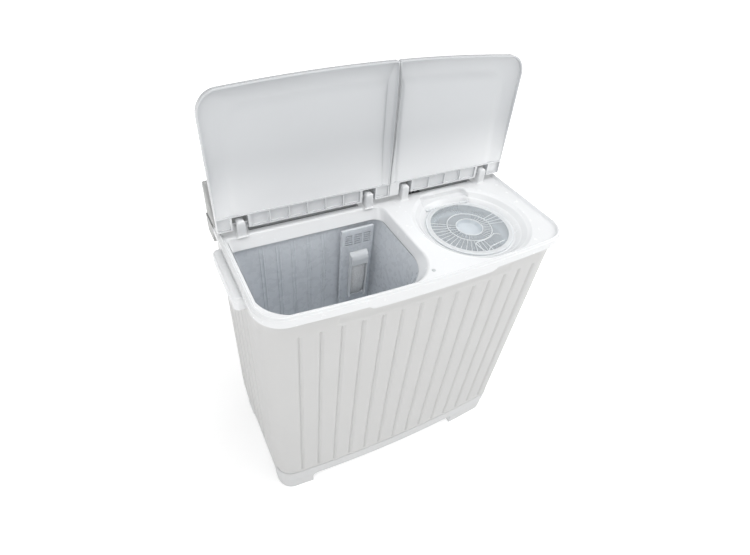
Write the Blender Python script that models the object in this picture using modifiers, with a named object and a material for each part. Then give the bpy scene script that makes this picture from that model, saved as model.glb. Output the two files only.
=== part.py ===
"""Twin-tub washing machine, modelled in Blender 4.5 as separate named pieces.

Metres, X to the right, Y to the back, Z up. The origin is on the floor, under the middle of the
machine. Both lids stand open, leaning a little past vertical, and the clear inner lid is shut.
"""

import math

import bmesh
import bpy
from mathutils import Matrix, Vector

# ---- driving dimensions ------------------------------------------------------------------------
FACE_BACK = math.radians(-90)  # turns a piece's own Z to face the back
GAP = 0.0003  # running clearance between neighbouring pieces
WALL = 0.0025  # moulded shell thickness

RIM_HALF = 0.400  # top cover, half its width
RIM_FRONT = -0.1954  # its front edge at the corners
RIM_BOW = 0.019  # how much further forward the front is at the middle
RIM_BACK = 0.2144
RIM_BOTTOM = 0.7514
RIM_CORNERS = (0.068, 0.045)  # front and back corner radii
DECK_Z = 0.770  # flat top of the cover
DECK_THICK = 0.004
BEAD_Z = 0.778  # raised bead along the rim
BAND = 0.018  # thickness of the cover's outer band
LIP_HALF, LIP_Z = 0.165, 0.7425  # deeper middle of the front edge
LIP_THICK = 0.009

CABINET_HALF = 0.391
CABINET_FRONT = -0.182
CABINET_BOW = 0.020
CABINET_BACK = 0.2014
CABINET_BOTTOM = 0.100
CABINET_TOP = RIM_BOTTOM - GAP
CABINET_TAPER = 0.006  # drawn in at the bottom edge
FRONT_GROOVES = 14
FRONT_PITCH = 0.0487
SIDE_GROOVES = 5
SIDE_PITCH = 0.045
SIDE_FIRST = -0.038
GROOVE_WIDTH = 0.013
GROOVE_DEPTH = 0.0045
GROOVE_LOW, GROOVE_HIGH = 0.108, 0.702
GROOVE_RUNOUT = 0.014

HANDLE_REACH = 0.420  # outer face, from the middle of the machine
HANDLE_Y = (-0.083, 0.097)
HANDLE_Z = (0.716, RIM_BOTTOM - 0.003)

FLOOR_Z = 0.049  # inside floor of the base tray
ARCH_Z = 0.045  # underside between the feet
FEET_X = (-0.282, 0.223)  # inner ends of the feet, left and right
FEET_Y = (-0.110, 0.120)  # and front and back

WASH_X = (-0.381, 0.010)  # wash opening
WASH_BACK = 0.077
WASH_FRONT = (-0.181, -0.198)  # front edge at its left and right ends
WASH_RADII = (0.085, 0.108, 0.0275, 0.010)  # front left, front right, back right, back left
FUNNEL_WALL = 0.0015
FUNNEL_RADII = (0.089, 0.085, 0.0315, 0.014)
MOUTH_Z = 0.744
TUB_BOTTOM = 0.375
PULSATOR_XY = (-0.187, -0.037)
DRAIN_XY = (-0.075, 0.020)

SPIN_XY = (0.205, -0.048)
DISH_RADIUS = 0.149
SEAT_RADIUS = 0.117
SPIN_MOUTH = 0.102
INNER_RADIUS = 0.113  # clear inner lid
INNER_CHORD = 0.068  # half the straight length of its hinge side
INNER_HINGE = 0.102  # hinge, behind its centre
INNER_PIN_UP = 0.003
SPIN_TUB_RADIUS = 0.128
SPIN_TUB_BOTTOM = 0.370
BASKET_RADIUS = 0.115
BASKET_Z = (0.405, 0.722)
BASKET_ROWS = 3  # rows of drain slots
SHAFT_RADIUS = 0.006

HINGE_Y, HINGE_Z = 0.105, 0.800
LEAN = math.radians(3.3)  # open lids lean this far past vertical
LID_SPLIT = 0.0435
LID_REACH = 0.295  # hinge to front edge at the outer corners
LID_HEEL = 0.014  # behind the hinge
LID_LOW, LID_HIGH = -0.006, 0.012  # flange edge and outer skin, from the pin
LID_SKIN = 0.0025
LID_STRIP = 0.022  # hinge strip, from the pin to the main panel
EAR_WIDTH = 0.020
EARS_WASH = (-0.345, -0.016)
EARS_SPIN = (0.090, 0.338)
NOTCH = 0.037
PIN_RADIUS = 0.002

CONSOLE_HALF = 0.398
CONSOLE_Y = (0.144, 0.2140)
PANEL_LOW = (0.149, 0.802)  # foot and head of the sloping control face
PANEL_HIGH = (0.195, 0.860)
PLUG_XY = (0.030, -0.178)  # bumper for the closed lid

INLET_X, INLET_Z = -0.300, 0.820
KNOB_X = {"wash_timer": -0.22, "drain_selector": 0.0, "spin_timer": 0.22}

WASH_MOTOR_XY = (-0.320, 0.030)
WASH_MOTOR_BOTTOM = 0.118
BELT_Z = 0.285
DRIVEN_RADIUS = 0.075
DRIVER_RADIUS = 0.020
GROOVE_IN = 0.006  # depth of a pulley's groove
PULLEY_HALF = 0.009
DRUM_Z = (0.300, 0.326)
DRUM_RADIUS = 0.045
SPIN_MOTOR_TOP = 0.272

COLOURS = {  # base colour, roughness, metallic
    "cabinet_white": ((0.72, 0.72, 0.73), 0.35, 0.0),
    "base_white": ((0.75, 0.76, 0.77), 0.45, 0.0),
    "cover_white": ((0.84, 0.85, 0.86), 0.28, 0.0),
    "lid_white": ((0.72, 0.75, 0.77), 0.30, 0.0),
    "tub_grey": ((0.42, 0.44, 0.46), 0.38, 0.0),
    "clear_plastic": ((0.80, 0.85, 0.88), 0.10, 0.0),
    "filter_grey": ((0.50, 0.52, 0.54), 0.40, 0.0),
    "basket_white": ((0.70, 0.72, 0.74), 0.35, 0.0),
    "panel_grey": ((0.30, 0.33, 0.37), 0.30, 0.0),
    "knob_grey": ((0.62, 0.64, 0.66), 0.30, 0.0),
    "rubber_black": ((0.03, 0.03, 0.03), 0.80, 0.0),
    "steel": ((0.60, 0.60, 0.61), 0.30, 1.0),
    "motor_metal": ((0.45, 0.46, 0.47), 0.45, 1.0),
    "black_plastic": ((0.05, 0.05, 0.05), 0.50, 0.0),
}


# ---- helpers -----------------------------------------------------------------------------------
def clear_scene():
    for thing in list(bpy.data.objects):
        bpy.data.objects.remove(thing, do_unlink=True)


def new_collection(name):
    group = bpy.data.collections.new(name)
    bpy.context.scene.collection.children.link(group)
    return group


def make_material(name):
    colour, roughness, metallic = COLOURS[name]
    surface = bpy.data.materials.new(name)
    surface.use_nodes = True
    shader = surface.node_tree.nodes["Principled BSDF"]
    shader.inputs["Base Color"].default_value = (*colour, 1.0)
    shader.inputs["Roughness"].default_value = roughness
    shader.inputs["Metallic"].default_value = metallic
    surface.diffuse_color = (*colour, 1.0)
    return surface


clear_scene()
PARTS = new_collection("twin_tub_washing_machine")
CUTTERS = new_collection("cutters")
MATERIALS = {name: make_material(name) for name in COLOURS}


def add_part(name, body, finish, at=(0, 0, 0), parent=None):
    """A mesh, or a bmesh, as a named piece with its material."""
    if isinstance(body, bmesh.types.BMesh):
        mesh = bpy.data.meshes.new(name)
        body.to_mesh(mesh)
        body.free()
    else:
        mesh = body
    mesh.shade_smooth()
    mesh.set_sharp_from_angle(angle=math.radians(32))
    piece = bpy.data.objects.new(name, mesh)
    PARTS.objects.link(piece)
    mesh.materials.append(MATERIALS[finish])
    piece.location = at
    piece.parent = parent
    return piece


def add_tool(name, body, at=(0, 0, 0)):
    """A solid that only cuts, or is joined to, another one."""
    mesh = bpy.data.meshes.new(name)
    body.to_mesh(mesh)
    body.free()
    tool = bpy.data.objects.new(name, mesh)
    CUTTERS.objects.link(tool)
    tool.location = at
    tool.hide_render = True
    tool.display_type = "WIRE"
    return tool


def combine(piece, tool, operation):
    step = piece.modifiers.new(tool.name, "BOOLEAN")
    step.operation = operation
    step.object = tool


def cut(piece, *tools):
    for tool in tools:
        combine(piece, tool, "DIFFERENCE")


def join(piece, *tools):
    for tool in tools:
        combine(piece, tool, "UNION")


def solidify(piece, thickness=WALL, offset=-1.0):
    """Gives an open skin its thickness: inwards, or outwards where offset is 1."""
    step = piece.modifiers.new("wall", "SOLIDIFY")
    step.thickness = thickness
    step.offset = offset


def loft(rings, cap_first=True, cap_last=True):
    """Skins rings of equal count, each anticlockwise seen from above, from the first up to the last."""
    body = bmesh.new()
    loops = [[body.verts.new(point) for point in ring] for ring in rings]
    for low, high in zip(loops, loops[1:]):
        for i, here in enumerate(low):
            j = (i + 1) % len(low)
            body.faces.new((here, low[j], high[j], high[i]))
    if cap_first:
        body.faces.new(reversed(loops[0]))
    if cap_last:
        body.faces.new(loops[-1])
    return body


def flat_ring(outline, z):
    return [(x, y, z) for x, y in outline]


def prism(outline, low, high):
    """An outline in plan, made solid between two heights."""
    return loft([flat_ring(outline, low), flat_ring(outline, high)])


def box(low, high):
    """A box between two opposite corners."""
    body = bmesh.new()
    size = [b - a for a, b in zip(low, high)]
    middle = [(a + b) / 2 for a, b in zip(low, high)]
    place = Matrix.Translation(middle) @ Matrix.Diagonal((*size, 1.0))
    bmesh.ops.create_cube(body, size=1.0, matrix=place)
    return body


def rod(radius, start, end, sides=20, far_radius=None):
    """A cylinder, or a cone, from one point to another."""
    body = bmesh.new()
    along = Vector(end) - Vector(start)
    turn = along.to_track_quat("Z", "Y").to_matrix().to_4x4()
    place = Matrix.Translation((Vector(start) + Vector(end)) / 2) @ turn
    last = radius if far_radius is None else far_radius
    bmesh.ops.create_cone(
        body, cap_ends=True, segments=sides, radius1=radius, radius2=last, depth=along.length, matrix=place
    )
    return body


def merged(*bodies):
    """Several separate solids as one mesh, for a tool that acts in many places."""
    whole = bmesh.new()
    for body in bodies:
        mesh = bpy.data.meshes.new("scratch")
        body.to_mesh(mesh)
        body.free()
        whole.from_mesh(mesh)
        bpy.data.meshes.remove(mesh)
    return whole


def turned(name, profile, finish, at, steps=32, closed=True, parent=None):
    """A profile of (radius, height), listed clockwise, turned about the vertical through its place."""
    body = bmesh.new()
    points = [body.verts.new((radius, 0, height)) for radius, height in profile]
    ends = zip(points, points[1:] + points[:1] if closed else points[1:])
    for a, b in ends:
        body.edges.new((a, b))
    piece = add_part(name, body, finish, at, parent)
    screw = piece.modifiers.new("turn", "SCREW")
    screw.steps = steps
    screw.render_steps = steps
    screw.use_merge_vertices = True
    screw.merge_threshold = 0.00001
    screw.use_smooth_shade = True
    return piece


def arc(centre, radius, start, end, steps):
    """Points on a circle between two angles in degrees, both ends included."""
    points = []
    for i in range(steps + 1):
        angle = math.radians(start + (end - start) * i / steps)
        points.append((centre[0] + radius * math.cos(angle), centre[1] + radius * math.sin(angle)))
    return points


def rounded(corners, radii, steps=6):
    """A convex outline, anticlockwise, with each corner rounded by its own radius."""
    points = []
    for i, corner in enumerate(corners):
        here = Vector(corner)
        back = (Vector(corners[i - 1]) - here).normalized()
        ahead = (Vector(corners[(i + 1) % len(corners)]) - here).normalized()
        half = back.angle(ahead) / 2
        centre = here + (back + ahead).normalized() * radii[i] / math.sin(half)
        start = here + back * radii[i] / math.tan(half) - centre
        sweep = math.pi - 2 * half
        for k in range(steps + 1):
            turn = Matrix.Rotation(sweep * k / steps, 2)
            points.append(tuple(centre + turn @ start))
    return points


# ---- the machine's outline in plan ---------------------------------------------------------------
def front_point(x, depth, half, front, bow, radius):
    """A point of the bowed front at x, pushed in by depth; it turns into the corner's arc."""
    reach = half - radius
    if abs(x) <= reach:
        y = front - bow * (1 - (x / half) ** 2)
        return (x, y + depth)
    edge = front - bow * (1 - (reach / half) ** 2)
    across = min(abs(x) - reach, radius)
    y = edge + radius - math.sqrt(radius**2 - across**2)
    return (x, y + depth)


def machine_outline(half, front, bow, back, radii, front_stops=(), side_stops=()):
    """Anticlockwise from the left end of the front. A stop is a place along the edge and a depth."""
    radius, back_radius = radii
    angles = (60, 40, 20, 0)
    reach = half - radius
    edge = front - bow * (1 - (reach / half) ** 2)
    shoulder = (reach + radius * 0.06, 0.0)
    stops = list(front_stops) or [(half * k / 10, 0.0) for k in range(-7, 8, 2)]
    if not front_stops:
        stops = [(-shoulder[0], 0.0), *stops, shoulder]
    points = [front_point(x, depth, half, front, bow, radius) for x, depth in stops]
    corner = [
        (reach + radius * math.cos(math.radians(a)), edge + radius - radius * math.sin(math.radians(a)))
        for a in angles
    ]
    points += corner
    points += [(half - depth, y) for y, depth in side_stops]
    middle = back - back_radius
    points += arc((half - back_radius, middle), back_radius, 0, 90, 4)
    points += arc((back_radius - half, middle), back_radius, 90, 180, 4)
    points += [(depth - half, y) for y, depth in reversed(side_stops)]
    points += [(-x, y) for x, y in reversed(corner)]
    return points


def rim_ring(inset, z):
    radii = [radius - inset for radius in RIM_CORNERS]
    return flat_ring(
        machine_outline(RIM_HALF - inset, RIM_FRONT + inset, RIM_BOW, RIM_BACK - inset, radii), z
    )


def groove_stops(centres, share):
    stops = []
    for centre in centres:
        stops += [(centre - GROOVE_WIDTH / 2, 0.0), (centre, GROOVE_DEPTH * share)]
        stops += [(centre + GROOVE_WIDTH / 2, 0.0)]
    return stops


def cabinet_ring(z, groove, extra=0.0):
    """The cabinet's outline at a height; groove is the grooves' share of their full depth."""
    down = (CABINET_TOP - z) / (CABINET_TOP - CABINET_BOTTOM)
    inset = CABINET_TAPER * down + extra
    radius = 0.062 + 0.023 * down - extra
    front = [(i - (FRONT_GROOVES - 1) / 2) * FRONT_PITCH for i in range(FRONT_GROOVES)]
    sides = [SIDE_FIRST + i * SIDE_PITCH for i in range(SIDE_GROOVES)]
    shoulder = 0.332
    front_stops = [(-shoulder, 0.0), *groove_stops(front, groove), (shoulder, 0.0)]
    outline = machine_outline(
        CABINET_HALF - inset,
        CABINET_FRONT + inset,
        CABINET_BOW,
        CABINET_BACK - extra,
        (radius, 0.035 - extra),
        front_stops,
        groove_stops(sides, groove),
    )
    return flat_ring(outline, z)


# ---- casing --------------------------------------------------------------------------------------
OUTLET_XZ = (-0.340, 0.150)  # drain outlet and cord grommet, in the cabinet's back
GLAND_XZ = (0.340, 0.180)
SERVICE_X, SERVICE_Z = 0.290, (0.170, 0.640)
COVER_SCREWS = [(x, z) for x in (-0.300, 0.300) for z in (0.180, 0.630)]


def back_screw_holes(radius):
    return merged(
        *[
            rod(radius, (x, CABINET_BACK - 0.010, z), (x, CABINET_BACK + 0.010, z), 10)
            for x, z in COVER_SCREWS
        ]
    )


def make_cabinet():
    levels = [
        (CABINET_BOTTOM, 0.0),
        (GROOVE_LOW, 0.0),
        (GROOVE_LOW + GROOVE_RUNOUT, 1.0),
        (GROOVE_HIGH - GROOVE_RUNOUT, 1.0),
        (GROOVE_HIGH, 0.0),
        (CABINET_TOP, 0.0),
    ]
    skin = loft([cabinet_ring(z, groove) for z, groove in levels], False, False)
    cabinet = add_part("cabinet", skin, "cabinet_white")
    solidify(cabinet)
    y = CABINET_BACK
    low, high = SERVICE_Z[0] + 0.02, SERVICE_Z[1] - 0.02
    window = box((-SERVICE_X, y - 0.02, low), (SERVICE_X, y + 0.02, high))
    cut(cabinet, add_tool("cabinet_window", window))
    cut(cabinet, add_tool("cabinet_screw_holes", back_screw_holes(0.0025)))
    holes = merged(
        *[
            rod(radius + GAP, (x, y - 0.02, z), (x, y + 0.02, z), 16)
            for radius, (x, z) in ((0.0130, OUTLET_XZ), (0.0070, GLAND_XZ))
        ]
    )
    cut(cabinet, add_tool("cabinet_pipe_holes", holes))


def base_outline(inset):
    """The cabinet's bottom edge in plan, without its grooves, drawn in by inset."""
    inset += CABINET_TAPER
    radii = (0.085 + CABINET_TAPER - inset, 0.035 - inset + CABINET_TAPER)
    half = CABINET_HALF - inset
    back = CABINET_BACK - inset + CABINET_TAPER
    return machine_outline(half, CABINET_FRONT + inset, CABINET_BOW, back, radii)


def make_base():
    """A tray on four feet. The right-hand feet are the wider ones: they carry the spin motor."""
    levels = [(0.0, 0.016), (ARCH_Z, 0.0125), (0.054, 0.0115), (0.054, 0.0095), (0.0915, 0.008)]
    levels += [(0.094, 0.005), (CABINET_BOTTOM - GAP, 0.005)]
    body = loft([flat_ring(base_outline(inset), z) for z, inset in levels])
    base = add_part("base_frame", body, "base_white")
    cut(base, add_tool("base_hollow", prism(base_outline(0.0145), FLOOR_Z, 0.12)))
    for name, low, high in (("front", *FEET_X), ("side", *FEET_Y)):
        square = [(low, -0.02), (high, -0.02), (high, ARCH_Z), (low, ARCH_Z)]
        outline = rounded(square, (0.001, 0.001, 0.015, 0.015))
        if name == "front":
            arch = loft([[(x, y, z) for x, z in outline] for y in (0.3, -0.3)])
        else:
            arch = loft([[(x, y, z) for y, z in outline] for x in (-0.5, 0.5)])
        cut(base, add_tool(f"base_{name}_arch", arch))


def wash_outline(grow, radius_grow=None):
    """The wash opening's outline, grown outwards."""
    more = grow if radius_grow is None else radius_grow
    left, right = WASH_X
    corners = [
        (left - grow, WASH_FRONT[0] - grow),
        (right + grow, WASH_FRONT[1] - grow),
        (right + grow, WASH_BACK + grow),
        (left - grow, WASH_BACK + grow),
    ]
    return rounded(corners, [max(radius + more, 0.004) for radius in WASH_RADII])


def funnel_outline(grow):
    """The upper edge of the slope that leads into the wash opening; the back slope is the widest."""
    corners = [(-0.387, -0.186), (0.018, -0.2035), (0.018, 0.096), (-0.387, 0.096)]
    signs = [(-1, -1), (1, -1), (1, 1), (-1, 1)]
    moved = [(x + a * grow, y + b * grow) for (x, y), (a, b) in zip(corners, signs)]
    return rounded(moved, [radius + grow for radius in FUNNEL_RADII])


def ear(x):
    """The lug that carries a lid's pin."""
    y, z = HINGE_Y, HINGE_Z
    side = [(y - 0.013, DECK_Z - 0.002), (y + 0.010, DECK_Z - 0.002), (y + 0.010, z + 0.004)]
    side += [(y + 0.004, z + 0.010), (y - 0.007, z + 0.010), (y - 0.013, z + 0.004)]
    return loft([[(at, a, b) for a, b in side] for at in (x - EAR_WIDTH / 2, x + EAR_WIDTH / 2)])


def make_top_cover():
    rings = [rim_ring(0.0, RIM_BOTTOM), rim_ring(0.0, 0.772), rim_ring(0.002, 0.777)]
    rings += [rim_ring(0.004, BEAD_Z), rim_ring(0.0075, 0.776), rim_ring(0.0095, DECK_Z)]
    cover = add_part("top_cover", loft(rings), "cover_white")
    pocket = prism([(x, y) for x, y, _ in rim_ring(BAND, 0)], RIM_BOTTOM - 0.01, DECK_Z - DECK_THICK)
    cut(cover, add_tool("cover_pocket", pocket))
    narrow = flat_ring(wash_outline(FUNNEL_WALL), MOUTH_Z)
    wide = flat_ring(funnel_outline(0.0), DECK_Z - 0.001)
    join(cover, add_tool("cover_funnel", loft([narrow, wide])))
    slope = (DECK_Z - MOUTH_Z) / 10
    inner = loft(
        [
            flat_ring(wash_outline(0.0), MOUTH_Z - slope),
            flat_ring(wash_outline(0.0), MOUTH_Z),
            flat_ring(funnel_outline(0.0), DECK_Z),
            flat_ring(funnel_outline(0.0), DECK_Z + slope),
        ]
    )
    cut(cover, add_tool("cover_wash_mouth", inner))
    x, y = SPIN_XY
    dish = rod(0.130, (x, y, 0.740), (x, y, DECK_Z - 0.001), 40, 0.152)
    join(cover, add_tool("cover_dish", dish))
    block = box((x - 0.076, y + 0.060, 0.7404), (x + 0.076, y + 0.1435, DECK_Z - 0.001))
    join(cover, add_tool("cover_hinge_block", block))
    bowl = rod(SEAT_RADIUS, (x, y, MOUTH_Z), (x, y, DECK_Z + 0.001), 40, DISH_RADIUS)
    cut(cover, add_tool("cover_bowl", bowl))
    cut(cover, add_tool("cover_spin_mouth", rod(SPIN_MOUTH, (x, y, 0.730), (x, y, 0.750), 40)))
    for name, reach, floor in (("seat", 0.112, MOUTH_Z - 0.0004), ("ledge", 0.140, MOUTH_Z + 0.010)):
        tab = box((x - 0.072, y + 0.060, floor), (x + 0.072, y + reach, DECK_Z + 0.002))
        cut(cover, add_tool(f"cover_hinge_{name}", tab))
    shelf = box((-0.5, CONSOLE_Y[0] - GAP, DECK_Z), (0.5, RIM_BACK + 0.1, DECK_Z + 0.1))
    cut(cover, add_tool("cover_console_shelf", shelf))
    ears = [ear(place) for place in EARS_WASH + EARS_SPIN]
    join(cover, add_tool("cover_ears", merged(*ears)))
    drill = rod(PIN_RADIUS + GAP, (-0.38, HINGE_Y, HINGE_Z), (0.38, HINGE_Y, HINGE_Z), 12)
    cut(cover, add_tool("cover_pin_bore", drill))
    plug = rod(0.0042 + GAP, (*PLUG_XY, DECK_Z - 0.02), (*PLUG_XY, DECK_Z + 0.02), 12)
    cut(cover, add_tool("cover_plug_hole", plug))
    join(cover, add_tool("cover_front_lip", front_lip()))


def front_lip():
    """The deeper middle of the rim's front edge, which hangs down clear of the cabinet."""
    stops = [LIP_HALF * k / 6 for k in range(-6, 7)]
    rings = []
    for z, half in ((LIP_Z, LIP_HALF - 0.012), (RIM_BOTTOM, LIP_HALF), (RIM_BOTTOM + 0.004, LIP_HALF)):
        front = [(x * half / LIP_HALF, RIM_FRONT - RIM_BOW * (1 - (x / RIM_HALF) ** 2)) for x in stops]
        ring = [(x, y + GAP) for x, y in front] + [(x, y + LIP_THICK) for x, y in reversed(front)]
        rings.append(flat_ring(ring, z))
    return loft(rings)


def make_bumper_plug():
    """A soft button that the closed lid lands on."""
    profile = [(0, 0.0016), (0.0030, 0.0014), (0.0048, GAP), (0.0042, GAP)]
    profile += [(0.0042, -0.006), (0, -0.006)]
    turned("bumper_plug", profile, "filter_grey", (*PLUG_XY, DECK_Z), 12, closed=False)


# ---- console -------------------------------------------------------------------------------------
def panel_frame(x, offset=0.0):
    """The middle of the sloping face at x, moved outwards by offset, with its outward and upward ways."""
    low, high = Vector(PANEL_LOW), Vector(PANEL_HIGH)
    up = (high - low).normalized()
    out = Vector((-up.y, up.x))
    middle = (low + high) / 2 + out * offset
    return Vector((x, *middle)), Vector((0, *out)), Vector((0, *up))


def panel_rod(radius, x, start, end, sides=16):
    """A cylinder square to the sloping face, between two distances from it."""
    middle, out, _ = panel_frame(x)
    return rod(radius, middle + out * start, middle + out * end, sides)


def panel_block(x, half_width, half_height, start, end):
    """A box square to the sloping face."""
    middle, out, up = panel_frame(x)
    rings = []
    for distance in (start, end):
        centre = middle + out * distance
        across = Vector((half_width, 0, 0))
        rise = up * half_height
        low, high = centre - rise, centre + rise
        rings.append([low - across, low + across, high + across, high - across])
    return loft(rings)


def make_console():
    front, back = CONSOLE_Y
    foot = DECK_Z + GAP
    outline = [(front, foot), (front, 0.796), PANEL_LOW, PANEL_HIGH, (0.201, 0.8635)]
    outline += [(0.209, 0.860), (back, 0.850), (back, foot)]
    body = bmesh.new()
    ends = []
    for x in (-CONSOLE_HALF, CONSOLE_HALF):
        ends.append([body.verts.new((x, y, z)) for y, z in outline])
    left, right = ends
    for i in range(len(outline) - 1):
        body.faces.new((left[i], right[i], right[i + 1], left[i + 1]))
    body.faces.new(left)
    body.faces.new(reversed(right))
    console = add_part("control_console", body, "cover_white")
    solidify(console)
    bores = [panel_rod(0.0055, x, -0.008, 0.008) for x in KNOB_X.values()]
    cut(console, add_tool("console_shaft_bores", merged(*bores)))
    inlet = rod(0.011, (INLET_X, back - 0.02, INLET_Z), (INLET_X, back + 0.01, INLET_Z), 16)
    cut(console, add_tool("console_inlet_hole", inlet))


def make_control_panel():
    """The thin fascia on the sloping face."""
    panel = add_part("control_panel", panel_block(0.0, 0.372, 0.029, GAP, 0.0018), "panel_grey")
    bores = [panel_rod(0.0055, x, -0.002, 0.006) for x in KNOB_X.values()]
    cut(panel, add_tool("panel_shaft_bores", merged(*bores)))


def make_controls():
    """Timers and the selector behind the fascia, and the knobs on their spindles."""
    for name, x in KNOB_X.items():
        middle, out, up = panel_frame(x)
        body = panel_block(x, 0.024, 0.019, -0.027, -WALL - GAP)
        timer = add_part(name, body, "black_plastic")
        cut(timer, add_tool(f"{name}_bore", panel_rod(0.0035 + GAP, x, -0.012, 0.001, 12)))
        knob = add_part(f"{name}_knob", knob_body(), "knob_grey")
        knob.matrix_world = Matrix.Translation(middle) @ panel_turn(out, up)


def panel_turn(out, up):
    across = up.cross(out)
    return Matrix((across, up, out)).transposed().to_4x4()


def knob_body():
    """A dial with a raised grip bar; its local Z is the spindle and its origin is on the face."""
    sides = 16
    rings = []
    levels = [(0.0035, -0.011), (0.0035, 0.0030), (0.019, 0.0030), (0.0195, 0.006), (0.018, 0.008)]
    for radius, height in levels:
        circle = arc((0, 0), radius, 0, 360 * (sides - 1) / sides, sides - 1)
        rings.append([(x, y, height) for x, y in circle])
    grip = [(x * 0.25, y * 0.9, 0.008) for x, y, _ in rings[-1]]
    rings.append(grip)
    rings.append([(x * 0.8, y * 0.97, 0.018) for x, y, _ in grip])
    return loft(rings)


def make_inlet():
    """The nozzle for the fill hose, flush with the console's back."""
    profile = [(0.0080, WALL), (0.0107, WALL), (0.0107, 0.0), (0.0140, 0.0), (0.0140, -0.002)]
    profile += [(0.0107, -0.002), (0.0107, -0.030), (0.0080, -0.030)]
    inlet = turned("water_inlet", profile, "knob_grey", (INLET_X, CONSOLE_Y[1] - WALL - GAP, INLET_Z), 16)
    inlet.rotation_euler.x = FACE_BACK


# ---- lids ----------------------------------------------------------------------------------------
def lid_outline(x_range, inset=0.0, heel=LID_HEEL):
    """The lid in plan, from its pin: anticlockwise, with a bowed front and one wide outer corner."""
    left, right = x_range[0] + inset, x_range[1] - inset
    outer_left = abs(x_range[0]) > abs(x_range[1])
    wide, tight = 0.050 - inset, 0.006
    radii = (wide, tight) if outer_left else (tight, wide)

    def front(x):
        return -(LID_REACH - inset + RIM_BOW * (1 - (x / RIM_HALF) ** 2))

    points = []
    radius = radii[0]
    y = front(left + radius)
    points += arc((left + radius, y + radius), radius, 180, 270, 5)
    span = (right - radii[1]) - (left + radius)
    points += [(left + radius + span * k / 6, front(left + radius + span * k / 6)) for k in range(1, 6)]
    radius = radii[1]
    y = front(right - radius)
    points += arc((right - radius, y + radius), radius, 270, 360, 5)
    points += [(right, heel), (left, heel)]
    return points


def lid_ring(x_range, inset, z):
    return flat_ring(lid_outline(x_range, inset, LID_HEEL - inset / 2), z)


def make_lid(name, x_range, ears, pockets):
    rings = [lid_ring(x_range, 0.0, LID_LOW), lid_ring(x_range, 0.0, LID_HIGH - 0.004)]
    rings += [lid_ring(x_range, 0.0015, LID_HIGH - 0.001), lid_ring(x_range, 0.004, LID_HIGH)]
    lid = add_part(name, loft(rings), "lid_white", (0, HINGE_Y, HINGE_Z))
    lid.rotation_euler.x = -math.pi / 2 - LEAN
    tools = []
    recess = lid_outline(x_range, 0.003, -LID_STRIP)
    tools.append(prism(recess, LID_LOW - 0.01, LID_HIGH - LID_SKIN))
    for start, end in pockets:
        tools.append(box((start, -0.0195, LID_LOW - 0.01), (end, LID_HEEL - 0.003, LID_HIGH - LID_SKIN)))
    for x in ears:
        tools.append(box((x - NOTCH / 2, -0.0200, LID_LOW - 0.01), (x + NOTCH / 2, 0.02, LID_HIGH + 0.01)))
    hollow = add_tool(f"{name}_hollows", merged(*tools))
    cut(lid, hollow)
    bores = [rod(PIN_RADIUS + GAP, (x - 0.0255, 0, 0), (x + 0.0255, 0, 0), 12) for x in ears]
    bore = add_tool(f"{name}_bores", merged(*bores))
    cut(lid, bore)
    for tool in (hollow, bore):
        tool.location = lid.location
        tool.rotation_euler = lid.rotation_euler
    for x, side in zip(ears, ("left", "right")):
        pin = rod(PIN_RADIUS, (x - 0.0225, 0, 0), (x + 0.0225, 0, 0), 12)
        add_part(f"{name}_pin_{side}", pin, "steel", (0, HINGE_Y, HINGE_Z))


def pockets_between(start, end, count, rib=0.003):
    pitch = (end - start) / count
    return [(start + i * pitch + rib / 2, start + (i + 1) * pitch - rib / 2) for i in range(count)]


def make_lids():
    edge = LID_SPLIT - 0.00075
    cheek = NOTCH / 2 + 0.005
    a, b = EARS_WASH
    pockets = [(-RIM_HALF + 0.003, a - cheek), (b + cheek, edge - 0.003)]
    pockets += pockets_between(a + cheek, b - cheek, 6)
    make_lid("wash_lid", (-RIM_HALF, edge), EARS_WASH, pockets)
    edge = LID_SPLIT + 0.00075
    a, b = EARS_SPIN
    pockets = [(b + cheek, RIM_HALF - 0.003)]
    pockets += pockets_between(a + cheek, b - cheek, 4)
    make_lid("spin_lid", (edge, RIM_HALF), EARS_SPIN, pockets)


def make_inner_cover():
    """The clear round lid over the spinner, with a straight hinge at its back and a finger grip."""
    x, y = SPIN_XY
    low = MOUTH_Z + GAP
    half = math.degrees(math.asin(INNER_CHORD / INNER_RADIUS))
    outline = arc((0, 0), INNER_RADIUS, 90 + half, 450 - half, 36)
    outline += [(INNER_CHORD, INNER_HINGE + 0.001), (-INNER_CHORD, INNER_HINGE + 0.001)]
    origin = (x, y + INNER_HINGE, low + INNER_PIN_UP)
    moved = [(a, b - INNER_HINGE) for a, b in outline]
    disc = prism(moved, -INNER_PIN_UP, 0.002 - INNER_PIN_UP)
    cover = add_part("spin_inner_cover", disc, "clear_plastic", origin)
    knuckle = rod(INNER_PIN_UP, (-INNER_CHORD, 0, 0), (INNER_CHORD, 0, 0), 16)
    join(cover, add_tool("inner_cover_knuckle", knuckle, origin))
    grip = box((0.0, -0.104 - INNER_HINGE, -0.002), (0.040, -0.074 - INNER_HINGE, 0.003))
    join(cover, add_tool("inner_cover_grip", grip, origin))


# ---- handles ---------------------------------------------------------------------------------------
def make_handles():
    """Carrying lips under the rim on each side, open below for the fingers."""
    inner, outer = CABINET_HALF + GAP, HANDLE_REACH
    front, back = HANDLE_Y
    for name, sign in (("left_handle", -1), ("right_handle", 1)):
        low, high = sorted((sign * inner, sign * outer))
        outline = rounded([(low, front), (high, front), (high, back), (low, back)], (0.006,) * 4, 3)
        rings = [flat_ring(outline, z) for z in HANDLE_Z]
        handle = add_part(name, loft(rings, cap_first=False), "cover_white")
        solidify(handle)


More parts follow.
